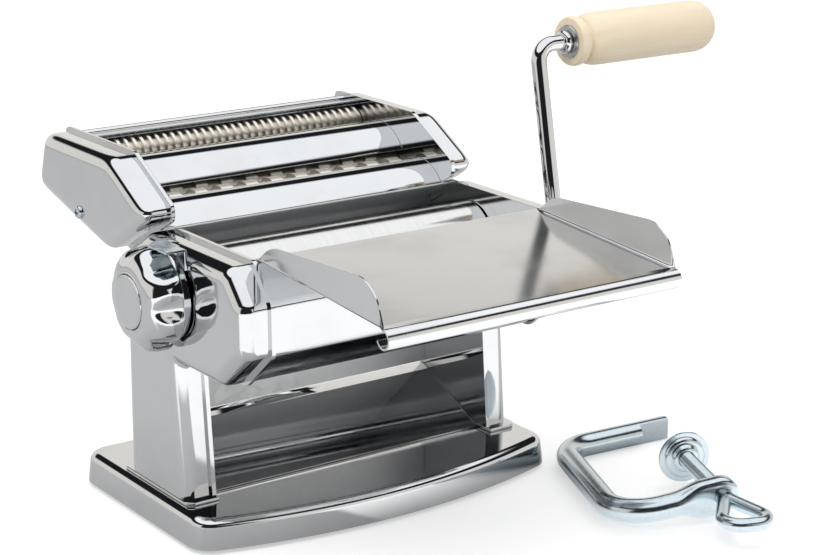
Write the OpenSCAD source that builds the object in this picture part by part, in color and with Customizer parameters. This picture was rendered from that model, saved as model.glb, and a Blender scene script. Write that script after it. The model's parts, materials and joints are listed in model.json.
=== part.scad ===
// Hand cranked pasta machine with a lift-off double cutter, a dough tray and a table clamp.
// X runs along the rollers, -Y is the front with the tray, +Z is up.
// The origin is the middle of the base on the table.

/* [Frame] */
// Clear width between the two side plates
inner_w = 144; // [120:1:180]
// Thickness of each side plate
plate_t = 2; // [1.5:0.1:3]
// Depth of each side cover outside its plate
cover_d = 13; // [12.5:0.1:18]
// Sheet thickness of covers, caps and base
sheet_t = 1.2; // [0.8:0.1:1.4]
// Sheet thickness of apron, panel, ramp, guards and tray
thin_t = 0.8; // [0.6:0.1:1]
// Width of the plate rim that shows round a cover
rim_w = 1.5; // [1:0.1:2]
// Rounding of a cover's outer edge
cover_r = 4.4; // [3:0.1:5]
// Radius of the rods that tie the side plates together
tie_r = 3; // [2:0.1:3.2]

/* [Base] */
// How far the base reaches beyond each side cover
base_side = 6; // [3.5:0.5:12]
// Distance from the origin to the back edge of the base
base_back = 62; // [50:1:80]
// Distance from the origin to the centres of the front corner arcs
base_front = 37.5; // [34:0.5:50]
// Height of the base
base_h = 15; // [15:0.5:20]
// Plan radius of the base corners
base_corner_r = 12; // [6:1:14]
// Plan radius of the bowed front edge
base_bow_r = 287; // [200:1:400]
// Rounding of the top edge of the base
base_edge_r = 4; // [2:0.5:5]
// Radius of a rubber foot
foot_r = 7; // [5:0.5:8]
// How far the feet stand below the skirt
foot_proud = 2; // [0.5:0.1:3]
// How far a pillar flange reaches beyond its pillar
flange_w = 3; // [2:0.5:4]
// How far a pillar flange reaches beyond the side cover
flange_side = 0.6; // [0.2:0.1:2]
// Thickness of a pillar flange
flange_t = 1.6; // [1:0.1:2.5]

/* [Rollers] */
// Diameter of the two smooth rollers
roller_d = 35; // [30:0.5:40]
// Height of the roller axes above the table
roller_z = 105; // [100:1:120]
// Place of the rear roller axis at the widest setting
rear_y = -13; // [-16:0.5:-10]
// Widest gap between the rollers
gap_max = 2.2; // [1.8:0.1:2.6]
// Narrowest gap between the rollers
gap_min = 0.2; // [0.2:0.1:0.5]
// Radius of the roller journals
journal_r = 7; // [6:0.1:7.5]
// Free length between a roller's end and its side plate
end_gap = 0.5; // [0.3:0.1:1]
// Teeth of each roller gear
gear_teeth = 14; // [12:2:16]
// Face width of the roller gears
gear_w = 6; // [4:0.5:7]

/* [Head] */
// Room in front of the front roller
nose_gap = 9.7; // [8:0.1:14]
// Room above the rollers
top_gap = 6.5; // [6:0.1:10]
// Room below the rollers
under_gap = 13.5; // [12:0.5:20]
// Room behind the rear roller
back_gap = 20.5; // [18:0.5:26]
// Depth of the chamfer above the nose
nose_top_y = 13.4; // [11:0.1:14]
// Height of the chamfer above the nose
nose_top_z = 15.3; // [11:0.1:16]
// Depth of the chamfer below the nose
nose_low_y = 20.9; // [14:0.1:22]
// Height of the chamfer below the nose
nose_low_z = 18; // [12:0.5:20]
// Depth of the slope that the cutter sits on
seat_y = 20; // [16:0.5:20]
// Drop of the slope that the cutter sits on
seat_z = 11; // [9:0.5:12]
// Depth of a pillar at its top
pillar_d = 46.5; // [40:0.5:52]
// Flare of a pillar's front edge towards the base
pillar_flare = 4.7; // [2:0.1:8]

/* [Thickness adjuster] */
// Diameter of the adjusting knob
knob_d = 45; // [42:0.5:50]
// Length of the adjusting knob
knob_len = 15.6; // [15:0.1:20]
// Diameter of the plain disc on the end of the knob
disc_d = 23; // [18:0.5:24]
// Radius of the knob shaft
shaft_r = 5; // [4:0.1:5.5]
// Radius of the eccentric on the knob shaft
ecc_r = 7; // [6.5:0.1:8]
// Turn of the knob from the widest to the narrowest gap
knob_turn = 120; // [90:5:120]
// Number of thickness settings
settings = 6; // [4:1:8]
// Radius of the index pin
pin_r = 1.5; // [1:0.1:1.8]
// Radius of the circle that the index pin moves on
pin_circle = 14; // [13.5:0.1:15]

/* [Crank] */
// Radius of the crank rod
crank_r = 3.5; // [3:0.1:3.6]
// Throw of the crank
crank_throw = 91; // [70:1:120]
// Lean of the crank arm towards the back
crank_lean = 10.8; // [0:0.1:30]
// Room between the right cover and the crank arm
crank_gap = 2.5; // [2:0.1:12]
// Bend radius of the crank rod
crank_bend = 8; // [7:0.5:12]
// Depth of the crank socket
socket_d = 22; // [16:1:26]
// Length of the wooden grip
grip_len = 82; // [70:1:100]
// Diameter of the wooden grip
grip_d = 24; // [22:0.5:28]
// Length of rod between the arm and the grip
grip_stand = 18; // [18:0.5:24]

/* [Cutter] */
// Radius of the cutter discs
cut_r = 8; // [7.5:0.1:8]
// Distance between the two axes of a cutter pair
cut_cd = 14.8; // [14.6:0.1:15.2]
// Width of a fine noodle
fine_w = 2; // [1.5:0.1:3]
// Width of a wide noodle
wide_w = 6.5; // [5:0.1:9]
// Free length on each side of a disc
disc_gap = 0.15; // [0.15:0.01:0.25]
// Radius of the cutter journals
cut_journal = 5; // [4.8:0.1:5.1]
// Teeth of each cutter gear
cut_teeth = 11; // [9:2:13]
// Height of the cutter above the head
cut_h = 26.5; // [26.5:0.5:32]
// Depth of the cutter's top edge
cut_top = 65; // [60:1:70]

/* [Dough tray] */
// Length of the tray floor along its slope
tray_len = 90; // [70:1:110]
// Slope of the tray floor
tray_slope = 4; // [1:0.5:8]
// Height of the tray's wings
wing_h = 17; // [12:0.5:22]
// Radius of the rolled front lip
lip_r = 3.3; // [2.5:0.1:4]
// Depth of the hook behind the apron
hook_h = 7; // [4:0.5:8]

/* [Clamp] */
// Radius of the clamp bar
bar_r = 5; // [4:0.1:5.2]
// Reach of the clamp's upper arm
arm_len = 60; // [48:1:70]
// Distance between the two clamp arms
jaw_h = 85; // [75:1:100]
// Bend radius of the clamp bar
bar_bend = 14; // [12:1:18]
// Reach of the clamp screw
screw_u = 46; // [40:1:48]
// Radius of the clamp screw
screw_r = 4; // [3:0.1:4.2]
// Radius of the clamp pad
pad_r = 12; // [10:0.5:13]
// Distance from the upper arm to the clamp pad
pad_v = 37.5; // [28:0.5:40]

/* [Hidden] */
$fn = 48;
fit = 0.05;       // radial clearance of a running fit
loose = 0.3;      // clearance between pieces that pass each other
seat = 0.02;      // radial clearance of a seated piece
wall_round = 4;   // steps in a rounded sheet edge
corner_steps = 3; // steps in a softened corner
corner_t = 2.5;   // where a softened corner starts
mesh_slip = 0.1;  // clearance where a block slides in its window

// Levels along X
xi = inner_w / 2;
xp = xi + plate_t;
xo = xp + cover_d;
roller_x = xi - end_gap;
base_w = 2 * (xo + base_side);

// Roller axes and the slide of the rear roller
roller_r = roller_d / 2;
travel = gap_max - gap_min;
front_y = rear_y - roller_d - gap_max;
knob_y = rear_y - travel / 2;
ecc = travel / 2 / sin(knob_turn / 2);

bush_r = journal_r + 2;

// Bearing blocks of the rear roller: half width, depth below the axis and lip outside the plate
block_w = 11;
block_low = 24;
block_lip = 3;
block_x = xp + 6;
slot_slip = 0.12;
ecc_x = xp + 2.6;

// Scrapers under the rollers: bar, its drop below the roller, and where the blade points
scraper_out = 11;
scraper_w = 7;
scraper_h = 3;
scraper_drop = 4.5;
blade_angle = 262;

// Outline of the head and pillar, front at the left, counterclockwise
nose_y = front_y - roller_r - nose_gap;
head_top = roller_z + roller_r + top_gap;
head_low = roller_z - roller_r - under_gap;
head_back = rear_y + roller_r + back_gap;
seat_dir = [seat_y, -seat_z] / norm([seat_y, seat_z]);
seat_nrm = [seat_z, seat_y] / norm([seat_y, seat_z]);
seat_0 = [head_back - seat_y, head_top];
pillar_back = 1.8;
apron_in = 1.2;
apron_return = 5;
panel_z = 25;
ramp_h = 19;
tie_at = [
    [front_y + 2.2, head_low + 5.4],
    [head_back - 9, head_low + 10],
    [head_back - 9, head_top - seat_z - 6],
    [head_back - 13, base_h + 7.5]];

// Tabs of the cutter in notches of the seat: start and width along the slope, and depth
tab_s = 8.3;
tab_w = 9.4;
tab_h = 5;

// Base: feet, screws and the socket for the clamp's upper arm
foot_inset = 14;
screw_hole = 2;
screw_at = [for (sx = [-1, 1], y = [head_back - pillar_d + 8, head_back - 10]) [sx * (xi + xo) / 2, y]];
socket_r = bar_r + 0.2;
socket_wall = 1.2;
socket_l = 45;
socket_z = base_h - sheet_t - socket_r - socket_wall;

function side_pts(drop) = [
    [head_back - pillar_d - pillar_flare, base_h + flange_t - drop],
    [head_back + pillar_back, base_h + flange_t - drop],
    [head_back, head_top - seat_z],
    seat_0,
    [nose_y + nose_top_y, head_top],
    [nose_y, head_top - nose_top_z],
    [nose_y, head_low + nose_low_z],
    [nose_y + nose_low_y, head_low],
    [head_back - pillar_d, head_low]];

// Outline of the cutter's side, counterclockwise
cut_lift = 0.4;
cut_0 = seat_0 + cut_lift * seat_nrm;
cut_front = cut_0 - 3.3 * seat_dir;
cut_low = cut_0 + 39.7 * seat_dir;
cut_z = head_top + cut_h;
cut_pts = [
    cut_low,
    [seat_0[0] + 98, cut_low[1] + 15.8],
    [seat_0[0] + 102.3, cut_low[1] + 20.8],
    [seat_0[0] + 29 + cut_top, cut_z],
    [seat_0[0] + 29, cut_z],
    [cut_front[0], cut_front[1] + 7],
    cut_front];

// Cutter roller axes: the fine pair slopes more than the wide pair
fine_drive = seat_0 + [76.4, 14];
fine_turn = 30;
fine_idle = fine_drive - cut_cd * [cos(fine_turn), sin(fine_turn)];
wide_drive = seat_0 + [30.4, -2.4];
wide_turn = 10;
wide_idle = wide_drive + cut_cd * [cos(wide_turn), sin(wide_turn)];
cut_bush_r = cut_journal + 1.4;
cut_core = cut_cd - cut_r - 0.5;
cut_axes = [fine_drive, fine_idle, wide_drive, wide_idle];
cap_r = 3.2;
cap_screw = seat_0 + [57.6, -4.4];
cap_screw_r = 1.5;
// Rods between the cutter plates: place and radius
cut_rods = [[seat_0 + [17, -2], 3], [seat_0 + [90, 10], 3], [seat_0 + [86.5, 23.3], 2]];

// Guards over the cutter rollers: centre and outer radius of each arc
mid_c = seat_0 + [55, -3];
mid_r = 21;
fore_c = seat_0 + [24, -11.5];
fore_r = 20;
rear_r = cut_r + 2.6;
mid_span = [63, 151];
fore_span = [65, 153];
rear_span = [-70, 95];
rear_tail = [4, 5];
guard_steps = 16;

// Gears
gear_x0 = xo - sheet_t - 1.2 - gear_w;
gear_rp = (roller_d + (gap_max + gap_min) / 2) / 2;
gear_add = 1.8;
gear_ded = gear_add + travel / 2 + 0.5;
cut_rp = cut_cd / 2;
cut_gear_x = xp + 2.2;
cut_gear_w = 5;
cut_add = 1.15;
cut_ded = 1.5;

// Crank
crank_x = xo + crank_gap + crank_r;
grip_x = crank_x + grip_stand;
grip_bore = 75;
socket_x = xo - sheet_t - 0.8;
tip_r = 2.9;
key_r = 2.2;
key_in = 8;
crank_room = 1.5;
ferrule_t = 1.2;
ferrule_r = 5.5;
ferrule_in = 5;
bead_l = 8;
neck_in = 2.4;

// Knob: the levels run outwards from the cover along -X
index_t = 1.6;
knob_x = xo + index_t + 0.8;
knob_end = knob_x + knob_len;
hub_t = 4;
washer_x = knob_end - 3.4;
washer_t = 1;
knob_bush_r = shaft_r + 2;
shaft_flat = 3.8;
washer_r = 8;
washer_screw = 2;
cup_r = 9;
disc_t = 1.6;
index_r = 19;
pin_start = 200;
pin_depth = 5.5;
dimples = 7;
dimple_x = 6;
dimple_out = 3.2;
dimple_r = 6;
spring_r = 7.2;
spring_wire = 0.4;
spring_turns = 4;

// Index pointer: sheet, reach, width, and its place beside and above the knob
pointer_t = 1.2;
pointer_l = 10;
pointer_w = 7;
pointer_y = 13;
pointer_gap = 0.8;

// Tray
tray_back = [nose_y + nose_top_y + 1.5, head_top - apron_in + 0.35];
tray_dir = [-cos(tray_slope), -sin(tray_slope)];
tray_nrm = [-sin(tray_slope), cos(tray_slope)];
tray_end = tray_back + tray_len * tray_dir;
tray_x = xi - loose;

// Where the clamp lies on the table
clamp_at = [101, -46];
clamp_yaw = -22.2;
arm_flare = 18;
eye_z = 7.5;
eye_r = 8.5;
eye_l = 9;
loop_r = 2.5;
loop_w = 13;
loop_l = 31;
loop_bend = 6;
neck_l = 3;
flat_l = 16;
flat_in = 2.4;
pad_in = 2;
pad_t = 5;

// Outward normal of the edge from a to b of a counterclockwise outline
function edge_normal(a, b) = [b[1] - a[1], a[0] - b[0]] / norm(b - a);

// Step from a corner to the same corner of an outline grown by one
function corner_step(n1, n2) = (n1 + n2) / (1 + n1 * n2);

// Outline grown by d, or shrunk where d is negative
function grow(pts, d) = let (n = len(pts)) [
    for (i = [0:n - 1])
        let (a = pts[(i + n - 1) % n], b = pts[i], c = pts[(i + 1) % n])
        b + d * corner_step(edge_normal(a, b), edge_normal(b, c))];

// Closed outline of a sheet of thickness t on the right of an open line of points
function sheet(pts, t) = let (n = len(pts)) concat(pts, [
    for (i = [n - 1:-1:0])
        let (a = pts[max(i - 1, 0)], b = pts[i], c = pts[min(i + 1, n - 1)])
        let (n1 = i > 0 ? edge_normal(a, b) : edge_normal(b, c))
        let (n2 = i < n - 1 ? edge_normal(b, c) : n1)
        b + t * corner_step(n1, n2)]);

// Outline with a curve at each corner, apart from its first few corners that stay sharp
function soften(pts, sharp) = let (n = len(pts)) [
    for (i = [0:n - 1])
        let (a = pts[(i + n - 1) % n], b = pts[i], c = pts[(i + 1) % n])
        let (t = min(corner_t, 0.4 * norm(a - b), 0.4 * norm(c - b)))
        let (p = b + t * (a - b) / norm(a - b), q = b + t * (c - b) / norm(c - b))
        for (k = [0:i < sharp ? 0 : corner_steps])
            let (s = k / corner_steps)
            i < sharp ? b : (1 - s) * (1 - s) * p + 2 * s * (1 - s) * b + s * s * q];

function arc(c, r, a0, a1, steps) = [
    for (i = [0:steps]) let (a = a0 + (a1 - a0) * i / steps) c + r * [cos(a), sin(a)]];

// Outline of a straight-sided gear with its first tooth towards +Y
function gear_pts(teeth, rp, add, ded) = [
    for (i = [0:teeth - 1])
        let (c = 360 * i / teeth, pitch = 360 / teeth)
        for (s = [[-0.31, rp - ded], [-0.11, rp + add], [0.11, rp + add], [0.31, rp - ded]])
            s[1] * [cos(c + s[0] * pitch), sin(c + s[0] * pitch)]];

// Solid skinned over rings that have the same number of points. Each end is closed by fans, which
// start at the first point of their list, so an end with a notch needs more than one
module loft(rings, fans = []) {
    n = len(rings[0]);
    m = len(rings);
    pts = [for (r = rings) for (p = r) p];
    first = len(fans) > 0 ? fans : [[for (i = [0:n - 1]) i]];
    last = len(fans) > 0
        ? [for (f = fans) let (c = len(f)) [for (i = [0:c - 1]) (m - 1) * n + f[(c - i) % c]]]
        : [[for (i = [n - 1:-1:0]) (m - 1) * n + i]];
    walls = [for (k = [0:m - 2]) for (i = [0:n - 1])
        let (j = (i + 1) % n)
        [k * n + i, (k + 1) * n + i, (k + 1) * n + j, k * n + j]];
    polyhedron(points = pts, faces = concat(first, last, walls));
}

// Profile in Y and Z, drawn out along X
module yz(x0, x1) {
    translate([x0, 0, 0]) rotate([90, 0, 90]) linear_extrude(x1 - x0) children();
}

// Round bar along X
module bar_x(at, r, x0, x1) {
    translate([x0, at[0], at[1]]) rotate([0, 90, 0]) cylinder(r = r, h = x1 - x0);
}

// Turned piece about X: the profile is radius against distance along X
module turned_x(at) {
    translate([0, at[0], at[1]]) rotate([0, 90, 0]) rotate_extrude() children();
}

// Socket for the crank at the right end of a roller: round at its mouth, narrower and with a flat further in
module crank_socket(at) {
    keyed(at, tip_r + fit, key_r + fit, socket_x - socket_d, socket_x);
    bar_x(at, crank_r + fit, socket_x - key_in, socket_x + 1);
}

module left() {
    mirror([1, 0, 0]) children();
}

// Round bar along X with a flat on its upper side
module keyed(at, r, flat, x0, x1) {
    intersection() {
        bar_x(at, r, x0, x1);
        translate([x0, at[0] - 2 * r, at[1] - 2 * r]) cube([x1 - x0, 4 * r, 2 * r + flat]);
    }
}

// Bend of a round bar in the plane of X and Y
module elbow(bar, bend, angle) {
    rotate_extrude(angle = angle) translate([bend, 0]) circle(r = bar);
}

// Pan head screw with a cross recess that points along +Z, seated at z = 0
module pan_screw(head_r, head_h, shank_r, shank_l) {
    difference() {
        union() {
            cylinder(r = head_r, h = head_h);
            translate([0, 0, -shank_l]) cylinder(r = shank_r, h = shank_l + head_h / 2);
        }
        for (a = [0, 90])
            rotate([0, 0, a])
                translate([-head_r * 0.6, -0.35, head_h * 0.4]) cube([head_r * 1.2, 0.7, head_h]);
    }
}

// Flanged bush about X: the sleeve runs from x0 to x1 and the flange stands beyond x1
module flanged_bush(at, bore, sleeve, flange, x0, x1, flange_h) {
    turned_x(at)
        polygon([[bore, x0], [sleeve, x0], [sleeve, x1], [flange, x1], [flange, x1 + flange_h],
            [bore, x1 + flange_h]]);
}

// Base

function base_outline(d) = let (
    cx = base_w / 2 - base_corner_r,
    span = base_bow_r - base_corner_r,
    a = asin(cx / span),
    bow_y = span * cos(a) - base_front,
    r = base_corner_r - d,
    back = base_back - base_corner_r,
    bow = arc([0, bow_y], base_bow_r - d, 270 - a, 270 + a, 12)) concat(
        arc([cx, -base_front], r, a - 90, 0, 6),
        arc([cx, back], r, 0, 90, 6),
        arc([-cx, back], r, 90, 180, 6),
        arc([-cx, -base_front], r, 180, 270 - a, 6),
        [for (i = [1:11]) bow[i]]);

function base_ring(d, z) = [for (p = base_outline(d)) [p[0], p[1], z]];

function base_rings(d, z0) = let (r = base_edge_r - d) concat(
    [base_ring(d, z0)],
    [for (k = [0:wall_round])
        let (a = 90 * k / wall_round)
        base_ring(d + r * (1 - cos(a)), base_h - base_edge_r + r * sin(a))]);

module socket_bar(r, y0, y1) {
    translate([0, y1, socket_z]) rotate([90, 0, 0]) cylinder(r = r, h = y1 - y0);
}

module base_plate() {
    color("gainsboro")
    difference() {
        loft(base_rings(0, foot_proud));
        loft(base_rings(sheet_t, foot_proud - 1));
        socket_bar(socket_r + loose, base_back - 2 * sheet_t, base_back + 1);
        for (p = screw_at) translate([p[0], p[1], 0]) cylinder(r = screw_hole + seat, h = base_h + 1);
    }
}

module rubber_feet() {
    color("dimgray")
    for (sx = [-1, 1], y = [foot_inset - base_front - base_corner_r, base_back - foot_inset])
        translate([sx * (base_w / 2 - foot_inset), y, 0])
            rotate_extrude()
                polygon([[0, 0], [foot_r - 0.8, 0], [foot_r, 0.8], [foot_r - 1, 7], [foot_r - 3, 8],
                    [foot_r - 3, base_h - sheet_t], [0, base_h - sheet_t]]);
}

module clamp_socket() {
    color("silver")
    difference() {
        union() {
            socket_bar(socket_r + socket_wall, base_back - sheet_t - socket_l, base_back - base_edge_r);
            translate([-socket_r, base_back - sheet_t - socket_l, socket_z + socket_r])
                cube([2 * socket_r, socket_l + sheet_t - base_edge_r,
                    base_h - sheet_t - socket_z - socket_r]);
        }
        socket_bar(socket_r, base_back - socket_l - 3, base_back);
    }
}

module base_screws() {
    color("lightsteelblue")
    for (p = screw_at)
        translate([p[0], p[1], base_h - sheet_t]) rotate([180, 0, 0])
            pan_screw(4, 2.4, screw_hole, sheet_t + flange_t - 0.2);
}

module pillar_flanges() {
    y0 = head_back - pillar_d - pillar_flare - flange_w;
    y1 = head_back + pillar_back + flange_w;
    x1 = xo + flange_side;
    plan = [[xi, y0], [x1 - flange_w, y0], [x1, y0 + flange_w], [x1, y1 - flange_w],
        [x1 - flange_w, y1], [xi, y1]];
    color("gainsboro")
    for (sx = [-1, 1])
        difference() {
            translate([0, 0, base_h]) linear_extrude(flange_t)
                polygon([for (p = plan) [sx * p[0], p[1]]]);
            for (p = screw_at)
                translate([p[0], p[1], base_h - 1]) cylinder(r = screw_hole + seat, h = flange_t + 0.8);
        }
}

// Side plates and covers

function side_ring(x, d, drop) = [
    for (p = soften(grow(side_pts(d + drop), -d), 2)) [x, p[0], p[1]]];

function cover_rings(t, drop, x0) = let (r = cover_r - t) concat(
    [side_ring(x0, rim_w + t, drop)],
    [for (k = [0:wall_round])
        let (a = 90 * k / wall_round)
        side_ring(xo - cover_r + r * sin(a), rim_w + t + r * (1 - cos(a)), drop)]);

// Block on the cutter's seat: from s0 to s1 down the slope and from n0 to n1 along its normal
function seat_box(s0, s1, n0, n1) = [
    for (p = [[s0, n0], [s1, n0], [s1, n1], [s0, n1]]) seat_0 + p[0] * seat_dir + p[1] * seat_nrm];

module side_plate() {
    difference() {
        yz(xi, xp) polygon(soften(side_pts(0), 2));
        bar_x([front_y, roller_z], bush_r + seat, xi - 1, xp + 1);
        yz(xi - 1, xp + 1)
            translate([rear_y - block_w - travel - mesh_slip, roller_z - block_low - mesh_slip])
                square([2 * block_w + travel + 2 * mesh_slip, block_low + block_w + 2 * mesh_slip]);
        yz(xi - 1, xp + 1) polygon(seat_box(tab_s - loose, tab_s + tab_w + loose, -tab_h - loose, 2));
    }
}

// Fans that close the cover's outline: pillar, the softened corner under the head, head
function cover_fans(n) = let (c0 = n - 1 - corner_steps, c1 = n - 1) [
    [c1, 0, 1, 2],
    concat([2], [for (i = [c0:c1]) i]),
    concat([c0], [for (i = [2:c0 - 1]) i])];

module side_cover() {
    fans = cover_fans(len(side_ring(xp, rim_w, 0)));
    difference() {
        loft(cover_rings(0, 0, xp), fans);
        loft(cover_rings(sheet_t, 1, xp - 1), fans);
    }
}

module right_side_plate() {
    color("gainsboro") side_plate();
}

module left_side_plate() {
    color("gainsboro") left() side_plate();
}

module right_side_cover() {
    color("gainsboro")
    difference() {
        side_cover();
        bar_x([front_y, roller_z], crank_r + crank_room, xo - 2 * sheet_t, xo + 1);
    }
}

module left_side_cover() {
    color("gainsboro")
    difference() {
        left() side_cover();
        bar_x([knob_y, roller_z], knob_bush_r + seat, -xo - 1, 2 * sheet_t - xo);
    }
}

// Sheets between the side plates

module front_apron() {
    pts = grow(side_pts(0), -apron_in);
    color("slategray")
    yz(-xi, xi)
        polygon(sheet([pts[4] - [0, loose], pts[5], pts[6], pts[7], pts[7] + [apron_return, 0]], -thin_t));
}

module rear_panel() {
    pts = grow(side_pts(0), -apron_in);
    color("gainsboro")
    yz(-xi, xi)
        polygon(sheet([[pts[2][0], base_h + panel_z], pts[2], pts[3]], -thin_t));
}

module exit_ramp() {
    front = [head_back - pillar_d + 2, base_h + thin_t];
    crest = [head_back - 3, base_h + ramp_h];
    line = [front, crest, crest + [5, 1.2], crest + [7, -1], [crest[0] + 7, base_h + 0.2]];
    color("gainsboro")
    difference() {
        union() {
            yz(-xi, xi) polygon(sheet(line, thin_t));
            for (x = [-xi, xi - thin_t]) yz(x, x + thin_t) polygon(line);
        }
        bar_x(tie_at[3], tie_r + mesh_slip, -xo, xo);
    }
}

module tie_rods() {
    color("silver")
    for (p = tie_at) bar_x(p, tie_r, -xi, xi);
}

// Scraper bar under a roller at y, with its blade on the side of dir
module scraper(y, dir, x) {
    tip = (roller_r + loose) * [cos(blade_angle), sin(blade_angle)];
    low = -roller_r - scraper_drop;
    near = scraper_w - scraper_out;
    pts = [[-scraper_out, low], [near, low], tip + [thin_t, -1], tip, [near - 1, low + scraper_h],
        [-scraper_out, low + scraper_h]];
    yz(-x, x) polygon([for (p = pts) [y + dir * p[0], roller_z + p[1]]]);
}

module front_scraper() {
    color("gainsboro") scraper(front_y, 1, xi);
}

module rear_scraper() {
    color("gainsboro") scraper(rear_y, -1, xi + loose);
}

// Rollers

module roller(at, journal_l, journal_right) {
    turned_x(at)
        polygon([[0, -journal_l], [journal_r, -journal_l], [journal_r, -roller_x], [roller_r, -roller_x],
            [roller_r, roller_x], [journal_r, roller_x], [journal_r, journal_right], [0, journal_right]]);
}

module front_roller() {
    at = [front_y, roller_z];
    color("gainsboro")
    difference() {
        roller(at, xp + 3, socket_x);
        crank_socket(at);
    }
}

module rear_roller() {
    color("gainsboro") roller([rear_y, roller_z], xp + 2, socket_x);
}

module roller_gear(at, turn) {
    difference() {
        yz(gear_x0, gear_x0 + gear_w)
            translate(at) rotate(turn) polygon(gear_pts(gear_teeth, gear_rp, gear_add, gear_ded));
        bar_x(at, journal_r + seat, gear_x0 - 1, gear_x0 + gear_w + 1);
    }
}

module drive_gear() {
    color("lightgray") roller_gear([front_y, roller_z], 0);
}

module driven_gear() {
    color("lightgray") roller_gear([rear_y, roller_z], 180 / gear_teeth);
}

module roller_bushes() {
    color("goldenrod") {
        flanged_bush([front_y, roller_z], journal_r + fit, bush_r, bush_r + 2, xi, xp, 1.2);
        left() flanged_bush([front_y, roller_z], journal_r + fit, bush_r, bush_r + 2, xi, xp, 1.2);
    }
}

// Bearing block of the rear roller: a boss in the plate's window and a flange outside it
module bearing_block(x1) {
    y0 = rear_y - block_w;
    z0 = roller_z - block_low;
    union() {
        translate([xi + loose, y0, z0]) cube([plate_t, 2 * block_w, block_low + block_w]);
        translate([xp + mesh_slip, y0 - block_lip, z0 - block_lip])
            cube([x1 - xp - mesh_slip, 2 * (block_w + block_lip), block_low + block_w + 2 * block_lip]);
    }
}

module right_bearing_block() {
    color("darkgray")
    difference() {
        bearing_block(gear_x0 - loose);
        bar_x([rear_y, roller_z], journal_r + fit, xi, xo);
    }
}

module left_bearing_block() {
    low = roller_z + ecc * cos(knob_turn / 2) - ecc_r - slot_slip;
    high = roller_z + ecc + ecc_r + slot_slip;
    color("darkgray")
    difference() {
        left() bearing_block(block_x);
        translate([-block_x - 1, rear_y - ecc_r - slot_slip, low])
            cube([block_x + 1 - ecc_x + loose, 2 * (ecc_r + slot_slip), high - low]);
        bar_x([rear_y, roller_z], journal_r + fit, -ecc_x, -xi);
    }
}

// Thickness adjuster on the left side

module gap_shaft() {
    start = 90 - knob_turn / 2;
    at = [knob_y, roller_z];
    color("silver")
    difference() {
        union() {
            bar_x(at + ecc * [cos(start), sin(start)], ecc_r, loose - block_x, -ecc_x);
            bar_x(at, shaft_r, -knob_x, loose - block_x);
            keyed(at, shaft_r, shaft_flat, -washer_x, -knob_x);
        }
        bar_x(at, washer_screw + seat, -washer_x - 1, 8 - washer_x);
    }
}

module shaft_washer() {
    color("silver") {
        left() turned_x([knob_y, roller_z])
            polygon([[0, washer_x - 7], [washer_screw, washer_x - 7], [washer_screw, washer_x],
                [washer_r, washer_x], [washer_r, washer_x + washer_t], [0, washer_x + washer_t]]);
    }
}

module knob_bush() {
    color("goldenrod")
    left() turned_x([knob_y, roller_z])
        polygon([[shaft_r + fit, block_x + 1], [knob_bush_r + 2, block_x + 1],
            [knob_bush_r + 2, xo - sheet_t], [knob_bush_r, xo - sheet_t],
            [knob_bush_r, xo + index_t], [shaft_r + fit, xo + index_t]]);
}

// Angle of each setting as seen along +X
function setting_angle(i) = pin_start + knob_turn * i / (settings - 1);

module index_plate() {
    steps = 24;
    inner = pin_circle - pin_r - loose;
    outer = pin_circle + pin_r + loose;
    slot = concat(
        arc([0, 0], outer, pin_start, pin_start + knob_turn, steps),
        arc([0, 0], inner, pin_start + knob_turn, pin_start, steps));
    at = [knob_y, roller_z];
    color("silver")
    difference() {
        bar_x(at, index_r, -xo - index_t, -xo);
        bar_x(at, knob_bush_r + seat, -xo - index_t - 1, 1 - xo);
        yz(-xo - index_t - 1, 1 - xo) translate(at) polygon(slot);
        for (i = [0:settings - 1])
            bar_x(at + pin_circle * [cos(setting_angle(i)), sin(setting_angle(i))], pin_r + 2 * loose,
                -xo - index_t - 1, 1 - xo);
    }
}

module index_pin() {
    at = [knob_y, roller_z] + pin_circle * [cos(pin_start), sin(pin_start)];
    color("silver") bar_x(at, pin_r, -knob_x - pin_depth, -xo - loose);
}

module index_pointer() {
    tab_z = roller_z + knob_d / 2 + pointer_gap;
    foot_z = roller_z + sqrt(pow(index_r + 1, 2) - pow(pointer_y, 2));
    y0 = knob_y - pointer_y - pointer_w;
    color("lightsteelblue") {
        translate([-xo - pointer_t, y0, foot_z]) cube([pointer_t, pointer_w, tab_z + pointer_t - foot_z]);
        translate([-xo - pointer_l, y0, tab_z]) cube([pointer_l, pointer_y + pointer_w, pointer_t]);
    }
}

module adjust_knob() {
    r = knob_d / 2;
    at = [knob_y, roller_z];
    dome = [for (k = [0:6])
        let (a = 90 * k / 6)
        [disc_d / 2 + 1.2 + (r - disc_d / 2 - 2.2) * cos(a), knob_x + 5 + (knob_len - 6) * sin(a)]];
    color("gainsboro")
    difference() {
        left() turned_x(at)
            polygon(concat([[0, knob_x], [r - 0.8, knob_x], [r, knob_x + 1], [r, knob_x + 4]], dome,
                [[disc_d / 2 + 0.8, knob_end - 0.6], [0, knob_end - 0.6]]));
        keyed(at, shaft_r + fit, shaft_flat + fit, -knob_x - hub_t - 1, 1 - knob_x);
        bar_x(at, cup_r, -knob_end, -knob_x - hub_t);
        bar_x(at, disc_d / 2 + seat, -knob_end - 1, disc_t - knob_end);
        bar_x(at + pin_circle * [cos(pin_start), sin(pin_start)], pin_r + seat,
            -knob_x - pin_depth, 1 - knob_x);
        for (i = [0:dimples - 1])
            let (a = 360 * (i + 0.5) / dimples)
            let (p = at + (r + dimple_out) * [cos(a), sin(a)])
            translate([-knob_x - dimple_x, p[0], p[1]]) rotate([a + 90, 0, 0]) rotate([0, 90, 0])
                sphere(r = dimple_r);
    }
}

module knob_disc() {
    color("gainsboro") bar_x([knob_y, roller_z], disc_d / 2, -knob_end, disc_t - knob_end);
}

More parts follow.
